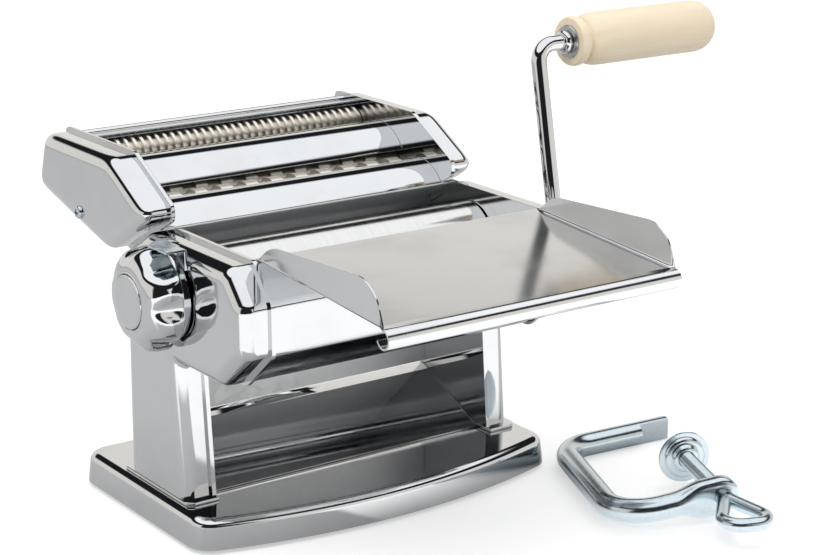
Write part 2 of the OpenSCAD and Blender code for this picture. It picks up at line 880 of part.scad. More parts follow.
module knob_spring() {
    x0 = knob_x + hub_t + spring_wire + 0.1;
    x1 = washer_x - spring_wire - 0.1;
    rings = 12;
    sides = 6;
    n = spring_turns * rings;
    color("silver")
    left() translate([0, knob_y, roller_z])
        loft([for (i = [0:n])
            let (a = 360 * i / rings, x = x0 + (x1 - x0) * i / n)
            [for (k = [0:sides - 1])
                let (b = 360 * k / sides, r = spring_r + spring_wire * sin(b))
                [x + spring_wire * cos(b), r * cos(a), r * sin(a)]]]);
}

// Crank

module crank_rod() {
    x0 = socket_x - socket_d + loose;
    x1 = socket_x - key_in + loose;
    color("gainsboro")
    difference() {
        translate([crank_x, front_y, roller_z]) rotate([-crank_lean, 0, 0]) {
            translate([x0 - crank_x, 0, 0]) rotate([0, 90, 0])
                cylinder(r = tip_r, h = x1 - x0 + key_in / 2);
            translate([x1 - crank_x, 0, 0]) rotate([0, 90, 0])
                cylinder(r = crank_r, h = crank_x - crank_bend - x1);
            translate([-crank_bend, 0, crank_bend]) rotate([90, 0, 0])
                rotate(-90) elbow(crank_r, crank_bend, 90);
            translate([0, 0, crank_bend]) cylinder(r = crank_r, h = crank_throw - 2 * crank_bend);
            translate([crank_bend, 0, crank_throw - crank_bend]) rotate([90, 0, 0])
                rotate(90) elbow(crank_r, crank_bend, 90);
            translate([crank_bend, 0, crank_throw]) rotate([0, 90, 0])
                cylinder(r = crank_r, h = grip_stand - crank_bend + grip_bore - 1);
        }
        // Flat on the tip that the socket drives
        translate([x0 - 1, front_y - crank_r, roller_z + key_r])
            cube([x1 - loose / 2 + 1 - x0, 2 * crank_r, crank_r]);
    }
}

// Place of the grip's axis
function grip_at() = [front_y + crank_throw * sin(crank_lean), roller_z + crank_throw * cos(crank_lean)];

module crank_collar() {
    x1 = grip_x - ferrule_t - loose;
    color("gainsboro")
    difference() {
        turned_x(grip_at())
            polygon([[0, x1 - 3], [crank_r + 1, x1 - 3], [crank_r + 1.8, x1 - 2],
                [crank_r + 1.8, x1], [0, x1]]);
        bar_x(grip_at(), crank_r + seat, grip_x - 10, grip_x);
    }
}

module wooden_grip() {
    r = grip_d / 2;
    tail = r * 0.75;
    swell = [for (k = [0:5])
        [r - neck_in * (1 - sin(18 * k)), grip_x + bead_l + (grip_len - bead_l - tail) * 0.12 * k]];
    end = [for (k = [0:6]) [r * cos(14 * k), grip_x + grip_len - tail + tail * sin(14 * k)]];
    color("burlywood")
    difference() {
        turned_x(grip_at())
            polygon(concat([[0, grip_x], [r - 1.8, grip_x], [r - 1, grip_x + 0.8], [r - 1, grip_x + 3.6],
                [r - 1.6, grip_x + 4.4], [r - 3, grip_x + 5], [r - 3, grip_x + 7]],
                swell, end, [[0, end[6][1]]]));
        bar_x(grip_at(), crank_r + 2 * fit, grip_x - 1, grip_x + grip_bore);
        bar_x(grip_at(), ferrule_r + seat, grip_x - 1, grip_x + ferrule_in);
    }
}

module grip_ferrule() {
    color("silver")
    difference() {
        union() {
            bar_x(grip_at(), ferrule_r, grip_x, grip_x + ferrule_in);
            bar_x(grip_at(), ferrule_r + 2, grip_x - ferrule_t, grip_x);
        }
        bar_x(grip_at(), crank_r + 2 * fit, grip_x - 5, grip_x + 9);
    }
}

// Cutter unit

function cut_ring(x, d) = [for (p = soften(grow(cut_pts, -d), 0)) [x, p[0], p[1]]];

function cap_rings(t, x0) = let (r = cap_r - t) concat(
    [cut_ring(x0, rim_w + t)],
    [for (k = [0:wall_round])
        let (a = 90 * k / wall_round)
        cut_ring(xo - cap_r + r * sin(a), rim_w + t + r * (1 - cos(a)))]);

module cutter_plate() {
    difference() {
        union() {
            yz(xi, xp) polygon(soften(cut_pts, 0));
            yz(xi + mesh_slip, xp - mesh_slip)
                polygon(seat_box(tab_s, tab_s + tab_w, -tab_h, cut_lift + 2));
        }
        for (p = cut_axes) bar_x(p, cut_bush_r + seat, xi - 1, xp + 1);
        bar_x(cap_screw, cap_screw_r + seat, xi + 0.4, xp + 1);
    }
}

module cutter_cap() {
    difference() {
        loft(cap_rings(0, xp));
        loft(cap_rings(sheet_t, xp - 1));
        bar_x(cap_screw, cap_screw_r + seat, xp, xo + 1);
    }
}

module cutter_right_plate() {
    color("gainsboro") cutter_plate();
}

module cutter_left_plate() {
    color("gainsboro") left() cutter_plate();
}

module cutter_right_cap() {
    color("gainsboro")
    difference() {
        cutter_cap();
        for (p = [fine_drive, wide_drive])
            bar_x(p, crank_r + crank_room, xo - 2 * sheet_t, xo + 1);
    }
}

module cutter_left_cap() {
    color("gainsboro") left() cutter_cap();
}

module cap_screws() {
    color("lightsteelblue")
    for (sx = [-1, 1])
        translate([sx * xo, cap_screw[0], cap_screw[1]]) rotate([0, sx * 90, 0])
            pan_screw(3, 1.8, cap_screw_r, xo - xi - 0.5);
}

module rear_guard() {
    turn = arc(fine_drive, rear_r, rear_span[0], rear_span[1], guard_steps);
    color("gainsboro")
    yz(-xi, xi) polygon(sheet(concat([turn[0] - rear_tail], turn), -thin_t));
}

module centre_guard() {
    color("gainsboro")
    yz(-xi, xi) polygon(sheet(arc(mid_c, mid_r, mid_span[0], mid_span[1], guard_steps), -thin_t));
}

module front_guard() {
    color("gainsboro")
    yz(-xi, xi) polygon(sheet(arc(fore_c, fore_r, fore_span[0], fore_span[1], guard_steps), -thin_t));
}

module cutter_rods() {
    color("silver")
    for (p = cut_rods) bar_x(p[0], p[1], -xi, xi);
}

module cutter_bushes() {
    color("goldenrod")
    for (p = cut_axes) {
        flanged_bush(p, cut_journal + fit, cut_bush_r, cut_bush_r + 0.7, xi, xp, 1);
        left() flanged_bush(p, cut_journal + fit, cut_bush_r, cut_bush_r + 0.7, xi, xp, 1);
    }
}

// Cutting roller: discs of width w with grooves as wide between them, shifted along X
module cutting_roller(at, w, shift, right) {
    span = xi - end_gap;
    count = floor((2 * span - w) / (2 * w));
    x0 = shift - count * w;
    teeth = [for (i = [0:count - 1])
        let (a = x0 + 2 * w * i + w / 2 + disc_gap, b = a + w - 2 * disc_gap)
        for (p = [[cut_core, a], [cut_r, a], [cut_r, b], [cut_core, b]]) p];
    turned_x(at)
        polygon(concat([[0, -xp - 1.2], [cut_journal, -xp - 1.2], [cut_journal, -span], [cut_core, -span]],
            teeth, [[cut_core, span], [cut_journal, span], [cut_journal, right], [0, right]]));
}

module drive_cutter(at, w) {
    difference() {
        cutting_roller(at, w, w / 2, socket_x);
        crank_socket(at);
    }
}

module idle_cutter(at, w) {
    cutting_roller(at, w, -w / 2, cut_gear_x + cut_gear_w);
}

module cutter_gear(at, turn) {
    difference() {
        yz(cut_gear_x, cut_gear_x + cut_gear_w)
            translate(at) rotate(turn) polygon(gear_pts(cut_teeth, cut_rp, cut_add, cut_ded));
        bar_x(at, cut_journal + seat, cut_gear_x - 1, cut_gear_x + cut_gear_w + 1);
    }
}

module fine_drive_roller() {
    color("wheat") drive_cutter(fine_drive, fine_w);
}

module fine_idle_roller() {
    color("wheat") idle_cutter(fine_idle, fine_w);
}

module wide_drive_roller() {
    color("wheat") drive_cutter(wide_drive, wide_w);
}

module wide_idle_roller() {
    color("wheat") idle_cutter(wide_idle, wide_w);
}

module fine_drive_gear() {
    color("lightgray") cutter_gear(fine_drive, 180 + fine_turn);
}

module fine_idle_gear() {
    color("lightgray") cutter_gear(fine_idle, 180 + fine_turn);
}

module wide_drive_gear() {
    color("lightgray") cutter_gear(wide_drive, wide_turn);
}

module wide_idle_gear() {
    color("lightgray") cutter_gear(wide_idle, wide_turn);
}

// Dough tray

module dough_tray() {
    roll = arc(tray_end - lip_r * tray_nrm, lip_r, 90 + tray_slope, 350, 14);
    wing = [
        tray_back,
        tray_back + [-wing_h * 0.66, wing_h * 0.5],
        tray_back + (tray_len - 15) * tray_dir + wing_h * tray_nrm,
        tray_back + (tray_len - 5.5) * tray_dir + wing_h * 0.7 * tray_nrm,
        tray_end];
    color("whitesmoke") {
        yz(-tray_x, tray_x)
            polygon(sheet(concat([tray_back - [0, hook_h], tray_back], roll), thin_t));
        for (x = [-tray_x, tray_x - thin_t]) yz(x, x + thin_t) polygon(soften(wing, 1));
    }
}

// Clamp that lies loose on the table

module on_table() {
    translate([clamp_at[0], clamp_at[1], bar_r]) rotate(clamp_yaw) children();
}

// Tube of radius r along a line of points that never runs upright
module tube(path, r) {
    n = len(path);
    sides = 16;
    loft([for (i = [0:n - 1])
        let (d = path[min(i + 1, n - 1)] - path[max(i - 1, 0)])
        let (side = cross(d, [0, 0, 1]) / norm(cross(d, [0, 0, 1])), up = cross(side, d) / norm(d))
        [for (k = [0:sides - 1]) path[i] + r * (cos(360 * k / sides) * up + sin(360 * k / sides) * side)]]);
}

// Centre line of the clamp bar from the end of its upper arm to its eye
function clamp_path() = let (
    flare = 90 - arm_flare,
    back = bar_bend * tan(flare / 2),
    rise = atan(eye_z / screw_u),
    upper = arc([bar_bend, -back], bar_bend, 180 - flare, 180, 8),
    lower = arc([bar_bend, bar_bend - jaw_h], bar_bend, 180, 270, 8)) concat(
        [arm_len * [cos(arm_flare), sin(arm_flare), 0]],
        [for (p = upper) [p[0], p[1], 0]],
        [for (p = lower) [p[0] * cos(rise), p[1], p[0] * sin(rise)]],
        [[screw_u, -jaw_h, eye_z]]);

module clamp_frame() {
    color("lightsteelblue") on_table()
    difference() {
        union() {
            tube(clamp_path(), bar_r);
            translate([screw_u, eye_l / 2 - jaw_h, eye_z]) rotate([90, 0, 0]) cylinder(r = eye_r, h = eye_l);
        }
        translate([screw_u, eye_l - jaw_h, eye_z]) rotate([90, 0, 0])
            cylinder(r = screw_r + fit, h = 2 * eye_l);
        // Flat at the end of the upper arm
        rotate(arm_flare) translate([arm_len - flat_l, -2 * bar_r, -2 * bar_r])
            cube([flat_l + bar_r, 2 * bar_r - flat_in, 4 * bar_r]);
    }
}

// Half of the loop handle from the neck of the screw to the middle of its crossbar
function loop_path(neck) = let (
    far = neck - loop_l,
    start = [0, neck],
    corner = [loop_w, far],
    along = (start - corner) / norm(start - corner)) concat(
        [[0, neck, 0]],
        [for (k = [0:6])
            let (s = k / 6)
            let (p = corner + loop_bend * ((1 - s) * (1 - s) * along - s * s * [1, 0]))
            [p[0], p[1], 0]],
        [[0, far, 0]]);

module clamp_screw() {
    neck = -jaw_h - eye_l / 2 - neck_l;
    start = -pad_v - pad_in;
    color("lightsteelblue") on_table() translate([screw_u, 0, eye_z]) {
        translate([0, start, 0]) rotate([90, 0, 0]) cylinder(r = screw_r, h = start - neck);
        tube(loop_path(neck + loop_r), loop_r);
        left() tube(loop_path(neck + loop_r), loop_r);
    }
}

module clamp_pad() {
    color("lightsteelblue") on_table() translate([screw_u, -pad_v, eye_z]) rotate([90, 0, 0])
        difference() {
            rotate_extrude()
                polygon([[0, 0], [pad_r - 1, 0], [pad_r, 1], [pad_r, 2.4], [screw_r + 3, pad_t], [0, pad_t]]);
            translate([0, 0, pad_in - loose]) cylinder(r = screw_r + fit, h = pad_t);
        }
}

base_plate();
rubber_feet();
clamp_socket();
base_screws();
left_side_plate();
right_side_plate();
left_side_cover();
right_side_cover();
pillar_flanges();
front_apron();
rear_panel();
exit_ramp();
tie_rods();
front_scraper();
roller_bushes();
knob_bush();
index_plate();
index_pointer();
front_roller();
drive_gear();
crank_rod();
crank_collar();
wooden_grip();
grip_ferrule();
left_bearing_block();
right_bearing_block();
rear_scraper();
rear_roller();
driven_gear();
gap_shaft();
shaft_washer();
adjust_knob();
knob_disc();
index_pin();
knob_spring();
cutter_left_plate();
cutter_right_plate();
cutter_left_cap();
cutter_right_cap();
rear_guard();
centre_guard();
front_guard();
cutter_rods();
cutter_bushes();
fine_drive_roller();
fine_drive_gear();
fine_idle_roller();
fine_idle_gear();
wide_drive_roller();
wide_drive_gear();
wide_idle_roller();
wide_idle_gear();
cap_screws();
dough_tray();
clamp_frame();
clamp_screw();
clamp_pad();
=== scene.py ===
"""Looks of the hand cranked pasta machine: smooth sheet metal, cutters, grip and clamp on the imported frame."""
import json
import math

import bmesh
import bpy
from bpy.props import FloatProperty, FloatVectorProperty, IntProperty, PointerProperty
from bpy.types import Operator, Panel, PropertyGroup
from mathutils import Matrix, Vector


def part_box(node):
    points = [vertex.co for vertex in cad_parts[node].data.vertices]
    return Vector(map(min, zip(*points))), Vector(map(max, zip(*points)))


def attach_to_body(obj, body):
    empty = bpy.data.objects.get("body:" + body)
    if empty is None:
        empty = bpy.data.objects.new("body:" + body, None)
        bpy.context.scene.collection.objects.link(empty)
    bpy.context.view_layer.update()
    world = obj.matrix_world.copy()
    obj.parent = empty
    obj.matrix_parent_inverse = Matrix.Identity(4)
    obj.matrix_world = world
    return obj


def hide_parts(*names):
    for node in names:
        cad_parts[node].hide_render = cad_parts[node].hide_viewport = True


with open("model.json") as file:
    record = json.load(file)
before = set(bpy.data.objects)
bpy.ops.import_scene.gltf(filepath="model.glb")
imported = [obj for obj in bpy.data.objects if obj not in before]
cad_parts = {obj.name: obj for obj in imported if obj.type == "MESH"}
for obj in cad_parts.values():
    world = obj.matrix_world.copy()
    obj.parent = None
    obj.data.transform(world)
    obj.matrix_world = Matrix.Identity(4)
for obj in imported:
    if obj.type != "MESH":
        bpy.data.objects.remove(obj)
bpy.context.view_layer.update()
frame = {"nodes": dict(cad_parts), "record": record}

bl_info = {
    "name": "Pasta Machine",
    "version": (1, 0, 0),
    "blender": (4, 5, 0),
    "location": "3D View > Sidebar > Pasta Machine",
    "description": "Builds the sheet metal, cutters, grip, clamp and studio of a pasta machine",
    "category": "Object",
}

BODY_OF = {n: b for b, ns in frame["record"]["behaviour"]["bodies"].items() for n in ns}
MM = 0.001


def box_mm(node):
    """Low and high corner of a node's box in millimetres."""
    return [[value / MM for value in corner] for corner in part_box(node)]


def axis_yz(node):
    """Centre of a node's box in Y and Z, and its half height."""
    (_, y0, z0), (_, y1, z1) = box_mm(node)
    return (y0 + y1) / 2, (z0 + z1) / 2, (z1 - z0) / 2


# Levels along X and the roller axes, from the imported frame
(PLATE_IN, _, _), (PLATE_OUT, _, _) = box_mm("right_side_plate")
COVER_OUT = box_mm("right_side_cover")[1][0]
FLOOR_Z = box_mm("base_plate")[1][2]
REAR_Y, ROLLER_Z, ROLLER_R = axis_yz("rear_roller")
FRONT_Y = axis_yz("front_roller")[0]
KNOB_Y = axis_yz("adjust_knob")[0]
DRIVE, KNOB = (FRONT_Y, ROLLER_Z), (KNOB_Y, ROLLER_Z)
SIDES = (("left", -1), ("right", 1))

# Outline of head and pillar, with its two corners that stand on the base, and of the cutter's side, in Y and Z
SIDE = [(-26.2, 16.6), (26.8, 16.6), (25, 118), (5, 129), (-64, 129), (-77.4, 113.7), (-77.4, 92),
        (-56.5, 74), (-21.5, 74)]
FEET = (0, 1)
CUTTER = [(39.98, 110.22), (103, 126.02), (107.3, 131.02), (99, 155.5), (34, 155.5), (2.3, 137.94),
          (2.3, 130.94)]
# The cutter's seat: its upper end, its direction down the slope and its normal
SEAT_AT, SEAT_DOWN, SEAT_OUT = Vector((5, 129)), Vector((0.8762, -0.4819)), Vector((0.4819, 0.8762))
FINE_DRIVE, FINE_IDLE = (81.4, 143.0), (68.583, 135.6)
WIDE_DRIVE, WIDE_IDLE = (35.4, 126.6), (49.975, 129.17)
CAP_SCREW = (62.6, 124.6)


def length(label, what, value):
    return FloatProperty(name=label, description=what, default=value, unit="LENGTH")


def number(label, what, value, least):
    return IntProperty(name=label, description=what, default=value, min=least)


def colour(label, what, value):
    return FloatVectorProperty(name=label, description=what, default=value, subtype="COLOR")


class PastaSizes(PropertyGroup):
    """Sizes of the machine's visible details"""
    edge: length("Edge rounding", "Rounding of sheet edges", 0.0003)
    rim: length("Rim rounding", "Rounding of the side plates' rims", 0.00092)
    rim_width: length("Rim width", "Plate rim that shows round a cover", 0.0015)
    cover_round: length("Cover rounding", "Rounding of a side cover's outer edge", 0.0070)
    cap_round: length("Cap rounding", "Rounding of a cutter cap's outer edge", 0.0062)
    sheet: length("Thin sheet", "Sheet thickness of tray, guards and apron", 0.0008)
    shell: length("Base sheet", "Sheet thickness of the base", 0.0012)
    cover_sheet: length("Drawn sheet", "Sheet thickness at the roundings of covers and caps", 0.0005)
    bend: length("Fold rounding", "Setback of a fold in thin sheet", 0.0022)
    skirt_flare: length("Skirt flare", "How far the base's skirt leans in towards its top", 0.0010)
    fold: length("Wing fold", "Rounding between tray floor and wings", 0.0022)
    lip: length("Tray lip", "Radius of the rolled lip of the tray", 0.0033)
    fine_disc: length("Fine disc", "Width of a fine cutter disc", 0.0017)
    fine_pitch: length("Fine pitch", "Spacing of the fine discs", 0.0040)
    fine_count: number("Fine discs", "Number of discs on a fine roller", 35, 1)
    wide_disc: length("Wide disc", "Width of a wide cutter disc", 0.0062)
    wide_pitch: length("Wide pitch", "Spacing of the wide discs", 0.0130)
    wide_count: number("Wide discs", "Number of discs on a wide roller", 10, 1)
    disc_r: length("Disc radius", "Radius of the cutter discs", 0.0080)
    core_r: length("Core radius", "Radius between the cutter discs", 0.0063)
    dimples: number("Knob dimples", "Finger dimples round the knob", 7, 3)
    dimple_depth: length("Dimple depth", "Depth of a finger dimple", 0.0030)
    thread: length("Thread pitch", "Pitch of the clamp screw's thread", 0.00175)
    thread_depth: length("Thread depth", "Depth of the clamp screw's thread", 0.0006)


class PastaFinishes(PropertyGroup):
    """Colours and gloss of the machine's finishes"""
    chrome: colour("Chrome", "Tint of the chrome plate", (0.615, 0.625, 0.635))
    chrome_rough: FloatProperty(name="Chrome roughness", description="Roughness of clean chrome", default=0.035,
                                min=0, max=1, subtype="FACTOR")
    roller: colour("Roller", "Tint of the polished rollers", (0.68, 0.68, 0.67))
    disc: colour("Cutter disc", "Tint of the satin cutter discs", (0.80, 0.76, 0.68))
    zinc: colour("Zinc", "Tint of the zinc plate", (0.53, 0.60, 0.64))
    steel: colour("Steel", "Tint of the bare steel", (0.55, 0.55, 0.55))
    bronze: colour("Bronze", "Tint of the bearing bronze", (0.60, 0.40, 0.20))
    beech: colour("Beech", "Light colour of the beech grip", (0.90, 0.78, 0.59))
    beech_dark: colour("Beech grain", "Dark grain of the beech grip", (0.74, 0.58, 0.39))
    rubber: colour("Rubber", "Colour of the feet", (0.035, 0.035, 0.037))


# Shader groups and finishes


def wire(tree, *links):
    """Links, each given as a node, its output, a node and its input."""
    for a, out, b, into in links:
        tree.links.new(a.outputs[out], b.inputs[into])


def add(tree, kind, sockets=None, **values):
    """Node of one kind with its properties or sockets set by name, or sockets by number."""
    node = tree.nodes.new(kind)
    for index, value in (sockets or {}).items():
        node.inputs[index].default_value = value
    for key, value in values.items():
        if hasattr(node, key):
            setattr(node, key, value)
        else:
            node.inputs[key.replace("_", " ")].default_value = value
    return node


def smooth_step(tree, low, high, **ends):
    """Soft ramp between two values."""
    return add(tree, "ShaderNodeMapRange", interpolation_type="SMOOTHSTEP", From_Min=low, From_Max=high, **ends)


def new_group(name, inputs, outputs):
    """Empty shader group with float inputs and outputs, and its object coordinates."""
    tree = bpy.data.node_groups.new(name, "ShaderNodeTree")
    for label, value in inputs:
        socket = tree.interface.new_socket(label, in_out="INPUT", socket_type="NodeSocketFloat")
        socket.default_value = value
    for label in outputs:
        tree.interface.new_socket(label, in_out="OUTPUT", socket_type="NodeSocketFloat")
    ends = [tree.nodes.new("NodeGroup" + end) for end in ("Input", "Output")]
    return tree, *ends, add(tree, "ShaderNodeTexCoord")


def handling_film(name):
    """Group: soft patches left by hands and cloths, and the slow waves of pressed sheet."""
    tree, ins, outs, coords = new_group(name, [("Patch Scale", 30.0), ("Wave Scale", 22.0)], ["Film", "Wave"])
    patch = add(tree, "ShaderNodeTexNoise", Detail=5.0, Roughness=0.62)
    wave = add(tree, "ShaderNodeTexNoise", Detail=1.0, Roughness=0.4)
    ramp = smooth_step(tree, 0.42, 0.72)
    wire(tree, (coords, "Object", patch, "Vector"), (ins, "Patch Scale", patch, "Scale"),
         (coords, "Object", wave, "Vector"), (ins, "Wave Scale", wave, "Scale"),
         (patch, "Fac", ramp, "Value"), (ramp, "Result", outs, "Film"), (wave, "Fac", outs, "Wave"))
    return tree


def turning_lines(name):
    """Group: fine rings that a lathe leaves across X."""
    tree, ins, outs, coords = new_group(name, [("Line Scale", 900.0)], ["Lines"])
    squash = add(tree, "ShaderNodeMapping", Scale=(1.0, 0.02, 0.02))
    noise = add(tree, "ShaderNodeTexNoise", Detail=4.0, Roughness=0.7)
    wire(tree, (coords, "Object", squash, "Vector"), (squash, "Vector", noise, "Vector"),
         (ins, "Line Scale", noise, "Scale"), (noise, "Fac", outs, "Lines"))
    return tree


def speckle(name):
    """Group: small crystals of a plated or moulded surface."""
    tree, ins, outs, coords = new_group(name, [("Cell Scale", 900.0)], ["Cells", "Grain"])
    cells = add(tree, "ShaderNodeTexVoronoi", feature="F1")
    grain = add(tree, "ShaderNodeTexNoise", Detail=3.0, Roughness=0.6)
    gray = add(tree, "ShaderNodeSeparateColor")
    for node in (cells, grain):
        wire(tree, (coords, "Object", node, "Vector"), (ins, "Cell Scale", node, "Scale"))
    wire(tree, (cells, "Color", gray, "Color"), (gray, "Red", outs, "Cells"), (grain, "Fac", outs, "Grain"))
    return tree


GROUPS = {}


def blank(name):
    """Material with only a Principled shader; returns it, its tree and the shader."""
    mat = bpy.data.materials.new(name)
    mat.use_nodes = True
    return mat, mat.node_tree, mat.node_tree.nodes["Principled BSDF"]


def surface(tree, shader, mask, relief, tints, rough, depth, strength=1.0):
    """Tint and roughness that run with a mask, and relief of a depth in metres; each a node and its output."""
    mix = add(tree, "ShaderNodeMix", {6: (*tints[0], 1), 7: (*tints[1], 1)}, data_type="RGBA")
    span = add(tree, "ShaderNodeMapRange", To_Min=rough[0], To_Max=rough[1])
    bump = add(tree, "ShaderNodeBump", Strength=strength, Distance=depth)
    wire(tree, (*mask, mix, 0), (mix, 2, shader, "Base Color"), (*mask, span, "Value"),
         (span, "Result", shader, "Roughness"), (*relief, bump, "Height"), (bump, "Normal", shader, "Normal"))


def shade(tint, factor):
    return tuple(c * factor for c in tint)


def coated(name, effect, scale, mask, relief, tints, rough, depth, strength=1.0, metal=1.0):
    """Material that follows two outputs of a shared shader group, whose first input is its scale."""
    mat, tree, shader = blank(name)
    shader.inputs["Metallic"].default_value = metal
    if effect not in GROUPS:
        GROUPS[effect] = effect(effect.__name__)
    node = add(tree, "ShaderNodeGroup", node_tree=GROUPS[effect])
    node.inputs[0].default_value = scale
    surface(tree, shader, (node, mask), (node, relief), tints, rough, depth, strength)
    return mat


def mirror_plate(name, tint, rough, wave, patch=30.0):
    """Bright plated sheet: nearly a mirror, with faint handling film and slow waves."""
    return coated(name, handling_film, patch, "Film", "Wave", (tint, shade(tint, 0.95)), rough, wave)


def turned_metal(name, tint, rough, lines, depth):
    """Metal with lathe rings across X."""
    return coated(name, turning_lines, lines, "Lines", "Lines", (shade(tint, 0.86), tint), rough, depth)


def crystal_metal(name, tint, rough, cells, depth):
    """Plated or cast metal with small crystals."""
    return coated(name, speckle, cells, "Cells", "Grain", (shade(tint, 0.96), shade(tint, 1.03)), rough, depth)


def moulded_rubber(name, tint):
    """Dull black rubber with a fine moulded grain."""
    return coated(name, speckle, 1400.0, "Grain", "Grain", (shade(tint, 0.7), shade(tint, 1.4)), (0.55, 0.8),
                  0.0002, 0.5, 0.0)


def beech(name, light, dark):
    """Sanded beech with grain along X and short dark flecks."""
    mat, tree, shader = blank(name)
    coords = add(tree, "ShaderNodeTexCoord")
    soft = add(tree, "ShaderNodeMath", {1: 0.42}, operation="MULTIPLY")
    fleck = add(tree, "ShaderNodeMath", {1: 0.5}, operation="MULTIPLY_ADD", use_clamp=True)
    for into, across, size, low, high in ((soft, 9.0, 26.0, 0.30, 0.75), (fleck, 16.0, 110.0, 0.60, 0.74)):
        stretch = add(tree, "ShaderNodeMapping", Scale=(1.0, across, across))
        noise = add(tree, "ShaderNodeTexNoise", Scale=size, Detail=5.0, Roughness=0.6)
        mask = add(tree, "ShaderNodeMapRange", From_Min=low, From_Max=high)
        wire(tree, (coords, "Object", stretch, "Vector"), (stretch, "Vector", noise, "Vector"),
             (noise, "Fac", mask, "Value"), (mask, "Result", into, 0))
    wire(tree, (soft, "Value", fleck, 2))
    grain = (fleck, "Value")
    surface(tree, shader, grain, grain, (light, dark), (0.44, 0.62), 0.00012, 0.4)
    return mat


FINISH = {}


def make_finishes(f):
    """All finishes, by the name of their material slot or surface."""
    FINISH["chrome"] = mirror_plate("chrome_plate", f.chrome, (f.chrome_rough, 0.09), 0.00006)
    FINISH["tray"] = mirror_plate("polished_tray", shade(f.chrome, 1.06), (0.14, 0.19), 0.00004, 18.0)
    FINISH["raw_sheet"] = crystal_metal("raw_sheet", shade(f.chrome, 1.25), (0.5, 0.62), 500.0, 0.00001)
    FINISH["roller"] = turned_metal("polished_roller", f.roller, (0.10, 0.17), 500.0, 0.000001)
    FINISH["cutter_disc"] = turned_metal("satin_cutter", f.disc, (0.26, 0.42), 1500.0, 0.00002)
    FINISH["zinc"] = crystal_metal("zinc_plate", f.zinc, (0.15, 0.21), 900.0, 0.000006)
    FINISH["steel"] = turned_metal("bare_steel", f.steel, (0.26, 0.4), 1100.0, 0.00001)
    FINISH["bronze"] = turned_metal("bearing_bronze", f.bronze, (0.28, 0.42), 1100.0, 0.00001)
    FINISH["wood"] = beech("sanded_beech", f.beech, f.beech_dark)
    FINISH["rubber"] = moulded_rubber("moulded_rubber", f.rubber)


# Mesh building, in millimetres


def spawn(name, mesh):
    """Object in the scene for a mesh or other data."""
    obj = bpy.data.objects.new(name, mesh)
    bpy.context.scene.collection.objects.link(obj)
    return obj


def raw_mesh(name, part):
    mesh = bpy.data.meshes.new(name)
    mesh.from_pydata([Vector(v) * MM for v in part[0]], [], part[1])
    return mesh


def mend(mesh, doubles=0.0, slivers=0.0):
    """Merges doubles, dissolves slivers and turns the faces outwards."""
    bm = bmesh.new()
    bm.from_mesh(mesh)
    if doubles:
        bmesh.ops.remove_doubles(bm, verts=bm.verts, dist=doubles)
    if slivers:
        bmesh.ops.dissolve_degenerate(bm, edges=bm.edges, dist=slivers)
    bmesh.ops.recalc_face_normals(bm, faces=bm.faces)
    bm.to_mesh(mesh)
    bm.free()
    return mesh


def smooth(mesh, sharp):
    """Smooth shading that keeps edges over an angle in degrees sharp."""
    mesh.shade_smooth()
    mesh.set_sharp_from_angle(angle=math.radians(sharp))


def modify(obj, kind, **settings):
    mod = obj.modifiers.new(kind.lower(), kind)
    for key, value in settings.items():
        setattr(mod, key, value)
    return mod


def settle(obj):
    """Turns an object's modifiers into its plain mesh."""
    bpy.context.view_layer.update()
    graph = bpy.context.evaluated_depsgraph_get()
    mesh = bpy.data.meshes.new_from_object(obj.evaluated_get(graph), depsgraph=graph)
    old = obj.data
    obj.modifiers.clear()
    obj.data = mesh
    bpy.data.meshes.remove(old)
    mesh.name = obj.name


def carve(obj, cutters):
    """Cuts loose solids out of an object and removes them."""
    for cutter in cutters:
        modify(obj, "BOOLEAN", operation="DIFFERENCE", solver="EXACT", object=cutter)
    settle(obj)
    for cutter in cutters:
        bpy.data.objects.remove(cutter)


def piece(name, part, finish, node, bevel=0.0, sharp=38, holes=(), wall=0.0):
    """Piece from verts in millimetres and faces, with holes or a wall, rounded edges and its finish."""
    obj = spawn(name, mend(raw_mesh(name, part), 1e-6, 1e-6))
    if holes:
        carve(obj, holes)
    if wall:
        modify(obj, "SOLIDIFY", thickness=wall, offset=-1.0, use_even_offset=True)
        settle(obj)
    smooth(obj.data, sharp)
    if bevel:
        modify(obj, "BEVEL", width=bevel, segments=3, limit_method="ANGLE", angle_limit=math.radians(sharp),
               harden_normals=False)
    modify(obj, "WEIGHTED_NORMAL", keep_sharp=not bevel, weight=60)
    settle(obj)
    return attach(obj, finish, node)


def paint(obj, finish):
    obj.data.materials.clear()
    obj.data.materials.append(FINISH[finish])


def attach(obj, finish, node):
    """Gives an object its finish, its body and the node it stands for."""
    paint(obj, finish)
    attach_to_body(obj, BODY_OF[node])
    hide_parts(node)
    return obj


def merge(objects, name, finish, node):
    """Joins plain objects into one piece."""
    bm = bmesh.new()
    for o in objects:
        bm.from_mesh(o.data)
    mesh = bpy.data.meshes.new(name)
    bm.to_mesh(mesh)
    bm.free()
    for o in objects:
        bpy.data.objects.remove(o)
    smooth(mesh, 38)
    return attach(spawn(name, mesh), finish, node)


def rings_mesh(rings, closed=False):
    """Verts and faces of a skin over rings with the same number of points, capped or closed on itself."""
    n, m = len(rings[0]), len(rings)
    verts = [p for ring in rings for p in ring]
    faces = []
    for k in range(m if closed else m - 1):
        a, b = k * n, ((k + 1) % m) * n
        faces += [(a + i, b + i, b + (i + 1) % n, a + (i + 1) % n) for i in range(n)]
    if not closed:
        faces += [tuple(range(n)), tuple(reversed(range((m - 1) * n, m * n)))]
    return verts, faces


def join(*parts):
    """Verts and faces of several meshes as one."""
    verts, faces = [], []
    for v, f in parts:
        faces += [tuple(i + len(verts) for i in face) for face in f]
        verts += list(v)
    return verts, faces


